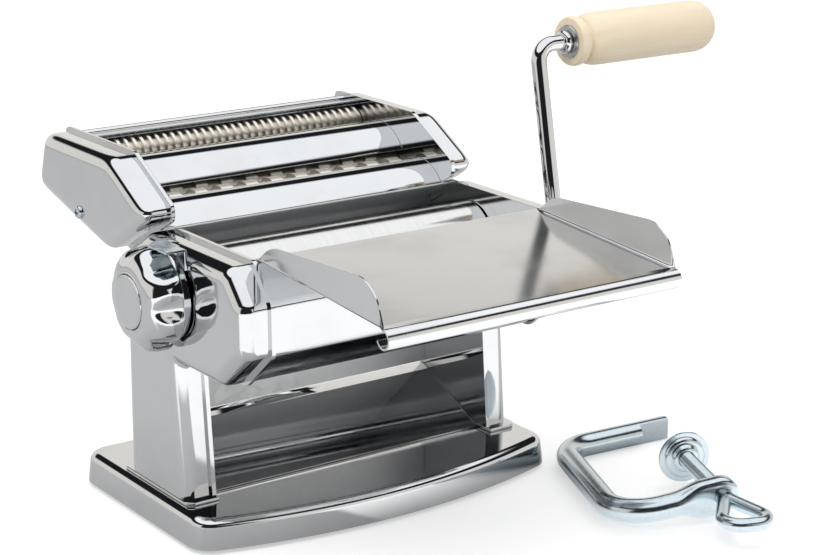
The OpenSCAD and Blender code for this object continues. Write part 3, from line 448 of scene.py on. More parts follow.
def sweep(start, end, steps):
    """Even angles from one to another, given in degrees."""
    return [math.radians(start + (end - start) * k / steps) for k in range(steps + 1)]


def full_turn(sides):
    return [2 * math.pi * k / sides for k in range(sides)]


def arc(centre, radius, start, end, steps):
    """Points on an arc, angles in degrees from the first axis."""
    return [(centre[0] + radius * math.cos(a), centre[1] + radius * math.sin(a)) for a in sweep(start, end, steps)]


def soften(points, setback, steps=7, sharp=(), closed=True, share=0.45):
    """Outline with a curve at each corner."""
    out, n = [], len(points)
    for i, p in enumerate(points):
        if i in sharp or (not closed and i in (0, n - 1)):
            out.append(tuple(p))
            continue
        a, b, c = Vector(points[i - 1]), Vector(p), Vector(points[(i + 1) % n])
        t = min(setback, share * (a - b).length, share * (c - b).length)
        start, end = b + t * (a - b).normalized(), b + t * (c - b).normalized()
        for k in range(steps + 1):
            s = k / steps
            out.append(tuple((1 - s) ** 2 * start + 2 * s * (1 - s) * b + s * s * end))
    return out


def plate_outline(points, sharp=()):
    """Outline of a side plate with its corners eased."""
    return soften(points, 2.5, 7, sharp, True, 0.4)


def folded(points, setback):
    """Open line with a curve at each fold."""
    return soften(points, setback, 6, (), False)


def outward(a, b):
    edge = (Vector(b) - Vector(a)).normalized()
    return Vector((edge.y, -edge.x))


def shifted(p, n1, n2, distance):
    """Corner point moved so that both its edges move by a distance."""
    return tuple(Vector(p) + distance * (n1 + n2) / (1 + n1.dot(n2)))


def grow(points, distance):
    """Counterclockwise outline moved outwards, or inwards where distance is negative."""
    n = len(points)
    return [shifted(p, outward(points[i - 1], p), outward(p, points[(i + 1) % n]), distance)
            for i, p in enumerate(points)]


def lathe(profile, at, sides=64):
    """Skin of a profile of (radius, distance) pairs turned about X."""
    return rings_mesh([ring_about_x(r, d, at, sides) for r, d in profile])


def ring_about_x(r, d, at, sides):
    return [(d, at[0] + r * math.cos(a), at[1] + r * math.sin(a)) for a in full_turn(sides)]


def prism(outline, x0, x1):
    """Outline in Y and Z drawn out along X."""
    return rings_mesh([[(x, y, z) for y, z in outline] for x in (x0, x1)])


def slab(plan, z0, z1):
    """Outline in X and Y drawn out along Z."""
    return rings_mesh([[(x, y, z) for x, y in plan] for z in (z0, z1)])


def strip(line, thick, x0, x1):
    """Bent sheet: a line in Y and Z with thickness on its right, drawn out along X."""
    n = len(line)
    other = []
    for i, p in enumerate(line):
        n1 = outward(line[i - 1], p) if i else outward(p, line[1])
        n2 = outward(p, line[i + 1]) if i < n - 1 else n1
        other.append(shifted(p, n1, n2, thick))
    return rings_mesh([[(x0, *a), (x1, *a), (x1, *b), (x0, *b)] for a, b in zip(line, other)])


def sheet_between(line, thick):
    return strip(line, thick, -PLATE_IN, PLATE_IN)


def bars(places):
    """Round bars between the side plates, each a place and a radius."""
    return join(*[lathe([(0, -PLATE_IN), (r, -PLATE_IN), (r, PLATE_IN), (0, PLATE_IN)], p, 40) for p, r in places])


def shaft_end(node, x):
    """End of a roller's profile at x: a crank socket with a wide mouth and a narrower bore, or a plain face."""
    if node != "front_roller" and "drive" not in node:
        return [(0, x)]
    return [(3.55, x), (3.55, x - 8), (2.95, x - 8), (2.95, x - 22), (0, x - 22)]


def drum(at, radius, x0, x1, sides=48):
    """Loose cylinder along X that cuts a round hole."""
    return spawn("drum", mend(raw_mesh("drum", lathe([(radius, x0), (radius, x1)], at, sides))))


def block(centre, size, turn=0.0):
    """Loose box that cuts a flat, turned about Z."""
    mesh = bpy.data.meshes.new("block")
    bm = bmesh.new()
    bmesh.ops.create_cube(bm, size=1.0, matrix=Matrix.Translation(Vector(centre) * MM)
                          @ Matrix.Rotation(turn, 4, "Z") @ Matrix.Diagonal((*(Vector(size) * MM), 1)))
    bm.to_mesh(mesh)
    bm.free()
    return spawn("block", mesh)


# Geometry Nodes: bent rods, rows and rounds of like pieces


def new_tree(name, **inputs):
    """Geometry tree with a geometry input and output, named size inputs and a material."""
    tree = bpy.data.node_groups.new(name, "GeometryNodeTree")
    for label, kind in {"Geometry": "Geometry", **inputs, "Material": "Material"}.items():
        tree.interface.new_socket(label, in_out="INPUT", socket_type="NodeSocket" + kind)
    tree.interface.new_socket("Geometry", in_out="OUTPUT", socket_type="NodeSocketGeometry")
    return tree, tree.nodes.new("NodeGroupInput"), tree.nodes.new("NodeGroupOutput")


def close_tree(tree, source, out, ins, outs):
    """Ends a tree in Realize Instances and Set Material."""
    real, coat = add(tree, "GeometryNodeRealizeInstances"), add(tree, "GeometryNodeSetMaterial")
    wire(tree, (source, out, real, "Geometry"), (real, "Geometry", coat, "Geometry"),
         (ins, "Material", coat, "Material"), (coat, "Geometry", outs, "Geometry"))
    return tree


def rod_tree():
    """Tree: a line of corner points becomes a round rod with bends of one radius."""
    tree, ins, outs = new_tree("bent_rod", Radius="Float", Bend="Float", Sides="Int")
    line = add(tree, "GeometryNodeMeshToCurve")
    bend = add(tree, "GeometryNodeFilletCurve", mode="POLY", Limit_Radius=True, Count=14)
    ring = add(tree, "GeometryNodeCurvePrimitiveCircle")
    skin = add(tree, "GeometryNodeCurveToMesh", Fill_Caps=True)
    wire(tree, (ins, "Geometry", line, "Mesh"), (line, "Curve", bend, "Curve"), (ins, "Bend", bend, "Radius"),
         (ins, "Sides", ring, "Resolution"), (ins, "Radius", ring, "Radius"),
         (bend, "Curve", skin, "Curve"), (ring, "Curve", skin, "Profile Curve"))
    return close_tree(tree, skin, "Mesh", ins, outs)


def row_tree():
    """Tree: one piece repeated at even steps along a line."""
    tree, ins, outs = new_tree("even_row", Count="Int", Step="Vector", Start="Vector")
    line, put = add(tree, "GeometryNodeMeshLine"), add(tree, "GeometryNodeInstanceOnPoints")
    wire(tree, (ins, "Count", line, "Count"), (ins, "Step", line, "Offset"), (ins, "Start", line, "Start Location"),
         (line, "Mesh", put, "Points"), (ins, "Geometry", put, "Instance"))
    return close_tree(tree, put, "Instances", ins, outs)


def round_tree():
    """Tree: one piece repeated round an upright axis."""
    tree, ins, outs = new_tree("upright_round", Count="Int", Turn="Float", Centre="Vector")
    line, put = add(tree, "GeometryNodeMeshLine", Offset=(0, 0, 0)), add(tree, "GeometryNodeInstanceOnPoints")
    index, spin = add(tree, "GeometryNodeInputIndex"), add(tree, "ShaderNodeCombineXYZ")
    times = add(tree, "ShaderNodeMath", operation="MULTIPLY")
    wire(tree, (ins, "Count", line, "Count"), (ins, "Centre", line, "Start Location"), (index, 0, times, 0),
         (ins, "Turn", times, 1), (times, 0, spin, "Z"), (spin, 0, put, "Rotation"),
         (line, "Mesh", put, "Points"), (ins, "Geometry", put, "Instance"))
    return close_tree(tree, put, "Instances", ins, outs)


TREES = {}


def grow_tree(name, mesh, make, finish, node, sharp=38, **values):
    """Object of a Geometry Nodes tree with its inputs set, turned into a plain mesh."""
    if make not in TREES:
        TREES[make] = make()
    obj = bpy.data.objects.new(name, mesh)
    mod = modify(obj, "NODES", node_group=TREES[make])
    ids = {s.name: s.identifier for s in TREES[make].interface.items_tree if s.in_out == "INPUT"}
    for key, value in {**values, "Material": FINISH[finish]}.items():
        mod[ids[key]] = value
    bpy.context.scene.collection.objects.link(obj)
    settle(obj)
    smooth(mend(obj.data, 1e-7), sharp)
    if not obj.data.polygons:
        raise RuntimeError(name + " came out empty")
    return attach(obj, finish, node) if node else obj


def bent_rod(name, points, radius, bend, finish, node, sides=40):
    mesh = bpy.data.meshes.new(name)
    mesh.from_pydata([Vector(p) * MM for p in points], [(i, i + 1) for i in range(len(points) - 1)], [])
    return grow_tree(name, mesh, rod_tree, finish, node, Radius=radius * MM, Bend=bend * MM, Sides=sides)


# Operators, one for each group of pieces


class PastaOperator:
    """Shared options of the operators"""
    bl_options = {"REGISTER", "UNDO"}


class PASTA_OT_finishes(PastaOperator, Operator):
    """Makes the finishes of the pasta machine"""
    bl_idname = "pasta.finishes"
    bl_label = "Finishes"

    def execute(self, context):
        make_finishes(context.scene.pasta_finishes)
        return {"FINISHED"}


def drawn_shell(ring, rim, round_r, sheet):
    """Verts and faces of a drawn shell outside a side plate; ring gives its outline at x, set in."""
    def wall(t):
        r = round_r - t
        return [ring(PLATE_OUT, rim + t)] + [
            ring(COVER_OUT - round_r + r * math.sin(a), rim + t + r * (1 - math.cos(a))) for a in sweep(0, 90, 10)]

    return rings_mesh(wall(sheet)[::-1] + wall(0.0))


def cover_ring(sign):
    """Outline of a side cover, open at its foot."""
    def ring(x, inset):
        low = [(y, z - inset) if i in FEET else (y, z) for i, (y, z) in enumerate(SIDE)]
        return [(sign * x, y, z) for y, z in plate_outline(grow(low, -inset), FEET)]

    return ring


def cap_ring(sign):
    """Outline of a cutter cap, whose soft corners come from a high power norm of its edges."""
    centre, power, count = Vector((58, 134)), 26, 260
    sides = []
    for a, b in zip(CUTTER, CUTTER[1:] + CUTTER[:1]):
        normal = outward(a, b)
        sides.append((normal, (Vector(a) - centre).dot(normal)))

    def ring(x, inset):
        out = []
        for a in full_turn(count):
            d = Vector((math.cos(a), math.sin(a)))
            total = sum((max(0.0, d.dot(normal)) / (reach - inset)) ** power for normal, reach in sides)
            out.append((sign * x, *(centre + d * total ** (-1 / power))))
        return out

    return ring


def cover_hole(at, radius, sign):
    """Loose drum through the flat of a cover or cap."""
    return drum(at, radius, sign * (COVER_OUT - 4), sign * (COVER_OUT + 4))


def plate_hole(at, radius, sign):
    """Loose drum through a side plate."""
    return drum(at, radius, sign * (PLATE_IN - 3), sign * (PLATE_OUT + 3))


class PASTA_OT_sides(PastaOperator, Operator):
    """Builds the side plates with their rims and the drawn side covers"""
    bl_idname = "pasta.sides"
    bl_label = "Side plates and covers"

    def execute(self, context):
        s = context.scene.pasta_sizes
        bores = {"left": (KNOB, 7.02), "right": (DRIVE, 5.0)}
        for side, sign in SIDES:
            shell = drawn_shell(cover_ring(sign), s.rim_width / MM, s.cover_round / MM, s.cover_sheet / MM)
            piece(side + "_cover_shell", shell, "chrome", side + "_side_cover", sharp=50,
                  holes=[cover_hole(*bores[side], sign)])
            self.plate(side, sign, s.rim)
        return {"FINISHED"}

    def plate(self, side, sign, edge):
        """Side plate with its bush hole, bearing window and cutter notch."""
        part = prism(plate_outline(SIDE, FEET), sign * PLATE_IN, sign * PLATE_OUT)
        (_, y0, z0), (_, y1, z1) = box_mm(side + "_bearing_block")
        x, deep, flange, travel, slip = sign * (PLATE_IN + PLATE_OUT) / 2, 8, 6, 2, 0.2
        window = block((x, (y0 + y1 - travel) / 2, (z0 + z1) / 2),
                       (deep, y1 - y0 - flange + travel + slip, z1 - z0 - flange + slip))
        notch = block((x, 0, 0), (deep, 10.0, 7.3))
        at = (SEAT_AT + 13.0 * SEAT_DOWN - 1.65 * SEAT_OUT) * MM
        notch.data.transform(Matrix.Translation((0, *at))
                             @ Matrix.Rotation(math.atan2(SEAT_DOWN.y, SEAT_DOWN.x), 4, "X"))
        piece(side + "_rim_plate", part, "chrome", side + "_side_plate", bevel=edge,
              holes=[plate_hole(DRIVE, 9.02, sign), window, notch])


class PASTA_OT_base(PastaOperator, Operator):
    """Builds the pressed base, the pillar flanges and the rubber feet"""
    bl_idname = "pasta.base"
    bl_label = "Base"

    def execute(self, context):
        s = context.scene.pasta_sizes
        flare, edge_r, skirt = s.skirt_flare / MM, 4.0, 3.5
        (_, _, low), (half, back, _) = box_mm("base_plate")
        corner, bow, fore, socket_r, socket_z = 12.0, 287.0, 37.5, 5.5, 7.4
        cx, cy, span = half - corner, back - corner, bow - corner
        lean = math.asin(cx / span)
        bow_y, degrees = span * math.cos(lean) - fore, math.degrees(lean)

        def outline(d, z):
            r = corner - d
            line = arc((cx, -fore), r, degrees - 90, 0, 12) + arc((cx, cy), r, 0, 90, 14)
            line += arc((-cx, cy), r, 90, 180, 14) + arc((-cx, -fore), r, 180, 270 - degrees, 12)
            line += arc((0, bow_y), bow - d, 270 - degrees, 270 + degrees, 48)[1:-1]
            return [(x, y, z) for x, y in line]

        def wall(t):
            r, top = edge_r - t, FLOOR_Z - edge_r
            return [outline(t, low), outline(t + 0.3 * flare, low + skirt)] + [
                outline(t + flare + r * (1 - math.cos(a)), top + r * math.sin(a)) for a in sweep(0, 90, 10)]

        mouth = drum((0, 0), socket_r, back - 4, back + 2)
        mouth.data.transform(Matrix.Translation((0, 0, socket_z * MM)) @ Matrix.Rotation(math.pi / 2, 4, "Z"))
        piece("pressed_base", rings_mesh(wall(s.shell / MM)[::-1] + wall(0.0)), "chrome", "base_plate", sharp=50,
              holes=[mouth])
        self.flanges(s.edge * 1.6)
        self.feet()
        return {"FINISHED"}

    def flanges(self, edge):
        """Plates under the pillars with cut corners."""
        (_, y0, z0), (out, y1, z1) = box_mm("pillar_flanges")
        cut = 3
        plan = soften([(PLATE_IN, y0), (out - cut, y0), (out, y0 + cut), (out, y1 - cut), (out - cut, y1),
                       (PLATE_IN, y1)], 1.2, 4, (0, 5))
        parts = [slab([(sign * x, y) for x, y in plan], z0, z1) for _, sign in SIDES]
        piece("pillar_foot_plates", join(*parts), "chrome", "pillar_flanges", bevel=edge)

    def feet(self):
        """Moulded feet with a ring groove in the sole."""
        (x0, y0, _), (_, y1, top) = box_mm("rubber_feet")
        profile = [(0, 0), (3.2, 0), (3.6, 0.5), (4.4, 0.5), (4.8, 0), (6.0, 0), (6.7, 0.3), (7.0, 0.9), (6.9, 2.5),
                   (6.2, 6.6), (5.6, 7.4), (4.2, 8), (4.0, 8.4), (4.0, top), (0, top)]
        r = max(radius for radius, _ in profile)
        verts, faces = lathe(profile, (0, 0), 40)
        mesh = raw_mesh("foot", ([(y, z, x) for x, y, z in verts], faces))
        x = (x0 + r) * MM
        rows = [grow_tree("feet_row", mesh.copy(), row_tree, "rubber", None, Count=2, Step=(-2 * x, 0, 0),
                          Start=(x, y * MM, 0)) for y in (y0 + r, y1 - r)]
        merge(rows, "moulded_feet", "rubber", "rubber_feet")


class PASTA_OT_sheets(PastaOperator, Operator):
    """Builds the apron, the rear panel, the exit ramp and the tie rods between the side plates"""
    bl_idname = "pasta.sheets"
    bl_label = "Sheets between the plates"

    def execute(self, context):
        s = context.scene.pasta_sizes
        t, bend, edge = s.sheet / MM, s.bend / MM, s.edge * 0.8
        inner = grow(SIDE, -1.2)
        nose = [(inner[4][0], inner[4][1] - 0.3), *inner[5:8], (inner[7][0] + 5, inner[7][1])]
        piece("nose_apron", sheet_between(folded(nose, bend), -t), "chrome", "front_apron", bevel=edge)
        back = [(inner[2][0], FLOOR_Z + 21.5), inner[2], inner[3]]
        piece("back_panel", sheet_between(folded(back, bend), -t), "raw_sheet", "rear_panel", edge)
        self.ramp(t, bend, edge)
        rods = [(-48, 79.4), (16, 84), (16, 112), (12, 22.5)]
        piece("tie_bars", bars([(p, 3) for p in rods]), "chrome", "tie_rods")
        return {"FINISHED"}

    def ramp(self, t, bend, edge):
        """Sloping exit sheet with a rolled crest and two end walls."""
        line = [(y, FLOOR_Z + z) for y, z in ((-19.5, 0.8), (22, 19), (27, 20.2), (29, 18), (29, 0.2))]
        slope = sheet_between(folded(line, bend), t)
        wall = soften(line, bend, 6, (0, 4))
        ends = [prism(wall, x, x + t) for x in (-PLATE_IN, PLATE_IN - t)]
        piece("exit_slope", join(slope, *ends), "chrome", "exit_ramp", bevel=edge)


class PASTA_OT_rollers(PastaOperator, Operator):
    """Builds the two smooth rollers with their rounded ends"""
    bl_idname = "pasta.rollers"
    bl_label = "Smooth rollers"

    def execute(self, context):
        shaft, r, end = 7, ROLLER_R, PLATE_IN - 0.5
        for node, y in (("front_roller", FRONT_Y), ("rear_roller", REAR_Y)):
            (low, _, _), (high, _, _) = box_mm(node)
            profile = [(0, low), (shaft - 0.4, low), (shaft, low + 0.4), (shaft, -end), (r - 0.6, -end),
                       (r - 0.2, 0.2 - end), (r, 0.6 - end), (r, end - 0.6), (r - 0.2, end - 0.2), (r - 0.6, end),
                       (shaft, end), (shaft, high)] + shaft_end(node, high)
            piece(node + "_turned", lathe(profile, (y, ROLLER_Z), 128), "roller", node, sharp=30)
        return {"FINISHED"}


class PASTA_OT_adjuster(PastaOperator, Operator):
    """Builds the dimpled knob, its plain disc and the index pointer"""
    bl_idname = "pasta.adjuster"
    bl_label = "Thickness adjuster"

    def execute(self, context):
        s = context.scene.pasta_sizes
        self.knob(s.dimples, s.dimple_depth / MM)
        (x0, _, z0), (x1, _, z1) = box_mm("knob_disc")
        r = (z1 - z0) / 2
        dish = [(0, x0 + 0.25), (r * 0.5, x0 + 0.2), (r - 1.4, x0), (r - 0.6, x0 + 0.08), (r - 0.15, x0 + 0.35),
                (r, x0 + 0.8), (r, x1), (0, x1)]
        piece("knob_end_disc", lathe(dish, KNOB, 72), "chrome", "knob_disc", sharp=30)
        self.pointer(s.edge)
        return {"FINISHED"}

    def knob(self, dimples, depth):
        """Domed knob with soft finger dimples, a cup for the disc and a bored foot."""
        (low, _, z0), (high, _, z1) = box_mm("adjust_knob")
        r, x0, x1 = (z1 - z0) / 2, -high, -low
        disc, bore, shoulder, wide = 11.55, 5.1, 1.2, 5.0
        inner = disc + shoulder
        profile = [(bore, x0), (r - 1.2, x0), (r - 0.4, x0 + 0.25), (r - 0.1, x0 + 0.7), (r, x0 + 1.3), (r, x0 + 3)]
        profile += [(inner + (r - inner) * math.cos(a), x0 + 4.6 + (x1 - x0 - 5.0) * math.sin(a))
                    for a in sweep(0, 90, 18)]
        profile += [(disc + 0.5, x1 - 0.1), (disc + 0.1, x1 - 0.5), (disc, x1 - 1.2), (disc, x1 - 1.6),
                    (bore, x1 - 1.6)]
        pitch = 2 * math.pi / dimples
        rings = []
        for radius, x in self.fine(profile):
            ring = []
            for a in full_turn(168):
                across = ((a / pitch) % 1 - 0.5) * pitch * r
                along = (x - x0 - 6.2) * 0.8
                cut = depth * math.exp(-((across ** 2 + along ** 2) / wide ** 2) ** 1.3) if radius > disc + 1 else 0
                ring.append((-x, KNOB_Y + (radius - cut) * math.cos(a), ROLLER_Z + (radius - cut) * math.sin(a)))
            rings.append(ring)
        piece("dimpled_knob", rings_mesh(rings, closed=True), "chrome", "adjust_knob", sharp=45)

    def fine(self, profile):
        """Profile with long straight stretches split."""
        out = [profile[0]]
        for a, b in zip(profile, profile[1:]):
            steps = max(1, int(math.dist(a, b) / 0.8))
            out += [(a[0] + (b[0] - a[0]) * k / steps, a[1] + (b[1] - a[1]) * k / steps)
                    for k in range(1, steps + 1)]
        return out

    def pointer(self, edge):
        """Bent zinc pointer: a leg on the cover and a tab over the knob."""
        (x0, y0, z0), (x1, y1, z1) = box_mm("index_pointer")
        t, side = 1.2, y0 + 7
        verts, faces = strip(folded([(x1, z0), (x1, z1), (x0, z1)], 1.6), -t, y0, side)
        leg = ([(y, x, z) for x, y, z in verts], faces)
        tab = soften([(x1, side - 1), (x0 + 2, side - 1), (x0, side + 2), (x0, y1 - 5), (x1 - 3, y1), (x1, y1)],
                     1.5, 4, (0, 5))
        piece("bent_pointer", join(leg, slab(tab, z1 - t, z1)), "zinc", "index_pointer", bevel=edge)


class PASTA_OT_crank(PastaOperator, Operator):
    """Builds the bent crank rod, its collar, the turned beech grip and its ferrule"""
    bl_idname = "pasta.crank"
    bl_label = "Crank"

    def execute(self, context):
        y, z, r = axis_yz("wooden_grip")
        (start, _, _), (end, _, _) = box_mm("wooden_grip")
        (tip, _, _), (far, _, _) = box_mm("crank_rod")
        at, arm_x, shank, rod_r, end_r = (y, z), start - 18, tip + 14, 3.5, 2.9
        points = [(shank, *DRIVE), (arm_x, *DRIVE), (arm_x, *at), (far, *at)]
        bent_rod("bent_crank", points, rod_r, 8.0, "chrome", "crank_rod")
        end_line = [(0, tip), (end_r - 0.4, tip), (end_r, tip + 0.4), (end_r, shank + 1), (0, shank + 1)]
        flat = block(((tip + shank) / 2 - 1, FRONT_Y, ROLLER_Z + 4.2), (shank - tip, 8, 4))
        piece("crank_tip", lathe(end_line, DRIVE, 40), "chrome", "crank_rod", sharp=35, holes=[flat])
        self.grip(at, start, end, r)
        stop = start - 1.5
        collar = [(rod_r, stop - 3), (4.2, stop - 3), (5.0, stop - 2.4), (5.3, stop - 1.6), (5.3, stop - 0.4),
                  (5.0, stop), (rod_r, stop)]
        piece("crank_stop", lathe(collar, at, 48), "chrome", "crank_collar", sharp=50)
        flange = start - 1.2
        ferrule = [(3.7, flange), (7.1, flange), (7.5, flange + 0.4), (7.5, start), (5.5, start), (5.5, start + 5),
                   (3.7, start + 5)]
        piece("grip_washer", lathe(ferrule, at, 56), "steel", "grip_ferrule", sharp=40)
        return {"FINISHED"}

    def grip(self, at, x, end, r):
        """Beech grip: a bead, a groove, a long swelling body and a round end."""
        bore, deep, groove = 3.7, 75, 3.0
        line = [(0, x + deep), (bore, x + deep), (bore, x), (5.6, x)]
        line += [(r - 1.7 + 1.7 * math.cos(a) * 0.55, x + 2.4 + 2.4 * math.sin(a)) for a in sweep(-90, 90, 12)]
        line += [(r - groove, x + 5.3), (r - 3.5, x + 6.0), (r - 3.3, x + 6.7)]
        line += [(r - groove + groove * math.sin(a), x + 7.1 + 7.5 * (1 - math.cos(a))) for a in sweep(0, 90, 16)]
        line += [(r - 7 + 7 * math.cos(a), end - 9.5 + 9.5 * math.sin(a)) for a in sweep(0, 90, 14)]
        piece("beech_grip", lathe(line + [(0, end)], at, 96), "wood", "wooden_grip", sharp=50)


class PASTA_OT_cutter(PastaOperator, Operator):
    """Builds the cutter's plates, caps, guards, rods and cap screws"""
    bl_idname = "pasta.cutter"
    bl_label = "Cutter body"

    def execute(self, context):
        s = context.scene.pasta_sizes
        for side, sign in SIDES:
            shell = drawn_shell(cap_ring(sign), s.rim_width / MM, s.cap_round / MM, s.cover_sheet / MM)
            holes = [cover_hole(CAP_SCREW, 1.52, sign)]
            if sign > 0:
                holes += [cover_hole(p, 5.0, sign) for p in (FINE_DRIVE, WIDE_DRIVE)]
            piece("cutter_" + side + "_shell", shell, "chrome", "cutter_" + side + "_cap", sharp=50, holes=holes)
            self.plate(side, sign, s.rim)
        rear = arc(FINE_DRIVE, 10.6, -70, 95, 36)
        guards = {"rear_guard": [(rear[0][0] - 4, rear[0][1] - 5)] + rear,
                  "centre_guard": arc((60, 126), 21, 63, 151, 40), "front_guard": arc((26.5, 114.9), 20, 88, 146, 40)}
        for node, line in guards.items():
            piece(node + "_sheet", sheet_between(line, -s.sheet / MM), "chrome", node, bevel=s.edge * 0.8)
        piece("cutter_tie_bars", bars([((22, 127), 3), ((95, 139), 3), ((91.5, 152.3), 2)]), "chrome", "cutter_rods")
        self.screws()
        return {"FINISHED"}

    def plate(self, side, sign, edge):
        """Cutter plate with its four bush holes, and the tab that hooks into the side plate."""
        x0, x1, slip, node = sign * PLATE_IN, sign * PLATE_OUT, 0.1 * sign, "cutter_" + side + "_plate"
        holes = [plate_hole(p, 6.42, sign) for p in (FINE_DRIVE, FINE_IDLE, WIDE_DRIVE, WIDE_IDLE)]
        piece("cutter_" + side + "_rim_plate", prism(plate_outline(CUTTER), x0, x1), "chrome", node, bevel=edge,
              holes=holes)
        tab = [tuple(SEAT_AT + a * SEAT_DOWN + b * SEAT_OUT)
               for a, b in ((8.3, -5), (17.7, -5), (17.7, 2.4), (8.3, 2.4))]
        piece("cutter_" + side + "_tab", prism(tab, x0 + slip, x1 - slip), "chrome", node, bevel=0.0002)

    def screws(self):
        """Two pan head screws with a cross recess, one on each cap."""
        x, z, long, narrow = COVER_OUT, CAP_SCREW[1], 3.4, 0.75
        dome = [(0, x - 12), (1.5, x - 12), (1.5, x), (3.0, x), (3.0, x + 0.4), (2.8, x + 0.9), (2.2, x + 1.45),
                (1.2, x + 1.75), (0, x + 1.8)]
        one = spawn("screw", mend(raw_mesh("screw", lathe(dome, (0, z), 32)), 1e-7))
        carve(one, [block((x + 1.6, 0, z), (1.6, *slot)) for slot in ((long, narrow), (narrow, long))])
        done = one.data.copy()
        bpy.data.objects.remove(one)
        grow_tree("cross_screws", done, round_tree, "zinc", "cap_screws", 30, Count=2, Turn=math.pi,
                  Centre=(0, CAP_SCREW[0] * MM, 0))


class PASTA_OT_cutter_rollers(PastaOperator, Operator):
    """Builds the four cutter rollers as rows of discs on turned cores"""
    bl_idname = "pasta.cutter_rollers"
    bl_label = "Cutter rollers"

    def execute(self, context):
        s = context.scene.pasta_sizes
        fine = (s.fine_disc / MM, s.fine_pitch / MM, s.fine_count)
        wide = (s.wide_disc / MM, s.wide_pitch / MM, s.wide_count)
        for node, at, discs, shift in (("fine_drive_roller", FINE_DRIVE, fine, 1),
                                       ("fine_idle_roller", FINE_IDLE, fine, -1),
                                       ("wide_drive_roller", WIDE_DRIVE, wide, 1),
                                       ("wide_idle_roller", WIDE_IDLE, wide, -1)):
            self.roller(node, at, *discs, shift, s.disc_r / MM, s.core_r / MM)
        return {"FINISHED"}

    def roller(self, node, at, width, pitch, count, shift, r, core):
        """Row of discs with eased edges on a core; shift sets the rows of a pair apart by half a pitch."""
        ease, sunk, shaft, sides = 0.18, core - 0.2, 5, 48
        disc = [(sunk, 0), (r - ease, 0), (r, ease), (r, width - ease), (r - ease, width), (sunk, width)]
        mesh = raw_mesh("disc", rings_mesh([ring_about_x(q, d, at, sides) for q, d in disc], closed=True))
        start = shift * pitch / 4 - count * pitch / 2 + (pitch / 2 - width) / 2 + pitch / 4
        row = grow_tree(node + "_discs", mesh, row_tree, "cutter_disc", None, 30, Count=count,
                        Step=(pitch * MM, 0, 0), Start=(start * MM, 0, 0))
        (low, _, _), (high, _, _) = box_mm(node)
        end = PLATE_IN - 0.5
        line = [(0, low), (shaft, low), (shaft, -end), (core, -end), (core, end), (shaft, end), (shaft, high)]
        turned = lathe(line + shaft_end(node, high), at, sides)
        merge([row, spawn("core", mend(raw_mesh("core", turned), 1e-7))], node + "_stack", "cutter_disc", node)


class PASTA_OT_tray(PastaOperator, Operator):
    """Builds the dough tray: floor, folded wings, hook and rolled lip in one sheet"""
    bl_idname = "pasta.tray"
    bl_label = "Dough tray"

    def execute(self, context):
        s = context.scene.pasta_sizes
        slope, floor, half, lip = math.radians(4), 90.0, box_mm("dough_tray")[1][0], s.lip / MM
        back = Vector((-62.5, 128.15))
        along, up = Vector((-math.cos(slope), -math.sin(slope))), Vector((-math.sin(slope), math.cos(slope)))
        wing = soften([(0, 0), (10.6, 9.3), (75, 17), (85, 12), (floor, 0)], 7.0, 9, (), False)
        rows = [(back + Vector((0, drop)), 0.0) for drop in (-7, -1.2)]
        stations = sorted({round(p[0], 3) for p in wing} | {float(k) for k in range(2, 89, 3)})
        rows += [(back + d * along, self.height(wing, d)) for d in stations]
        centre = back + floor * along - lip * up
        rows += [(Vector(p), 0.0) for p in arc(tuple(centre), lip, 94, 345, 30)[1:]]
        piece("folded_tray", self.grid(rows, half, s.fold / MM, up), "tray", "dough_tray", s.edge * 0.7,
              sharp=40, wall=s.sheet)
        return {"FINISHED"}

    def height(self, wing, d):
        """Height of the wing at a distance along the floor."""
        for (a, h0), (b, h1) in zip(wing, wing[1:]):
            if a <= d <= b:
                return h0 + (h1 - h0) * (d - a) / max(b - a, 1e-6)
        return 0.0

    def grid(self, rows, half, fold, up):
        """Sheet across the tray: wing, fold, floor, fold, wing in each row."""
        steps, floor = 8, 10
        verts, faces = [], []
        for at, high in rows:
            r = min(fold, high * 0.9)
            left = [(-half, high)] + [(-half + r * (1 - math.cos(a)), r * (1 - math.sin(a)))
                                      for a in sweep(0, 90, steps)]
            flat = [(-(half - r) + 2 * (half - r) * k / floor, 0.0) for k in range(1, floor)]
            line = left + flat + [(-x, h) for x, h in reversed(left)]
            verts += [(x, *(at + h * up)) for x, h in line]
        n = len(line)
        for k in range(len(rows) - 1):
            faces += [(k * n + i, k * n + i + 1, (k + 1) * n + i + 1, (k + 1) * n + i) for i in range(n - 1)]
        return verts, faces


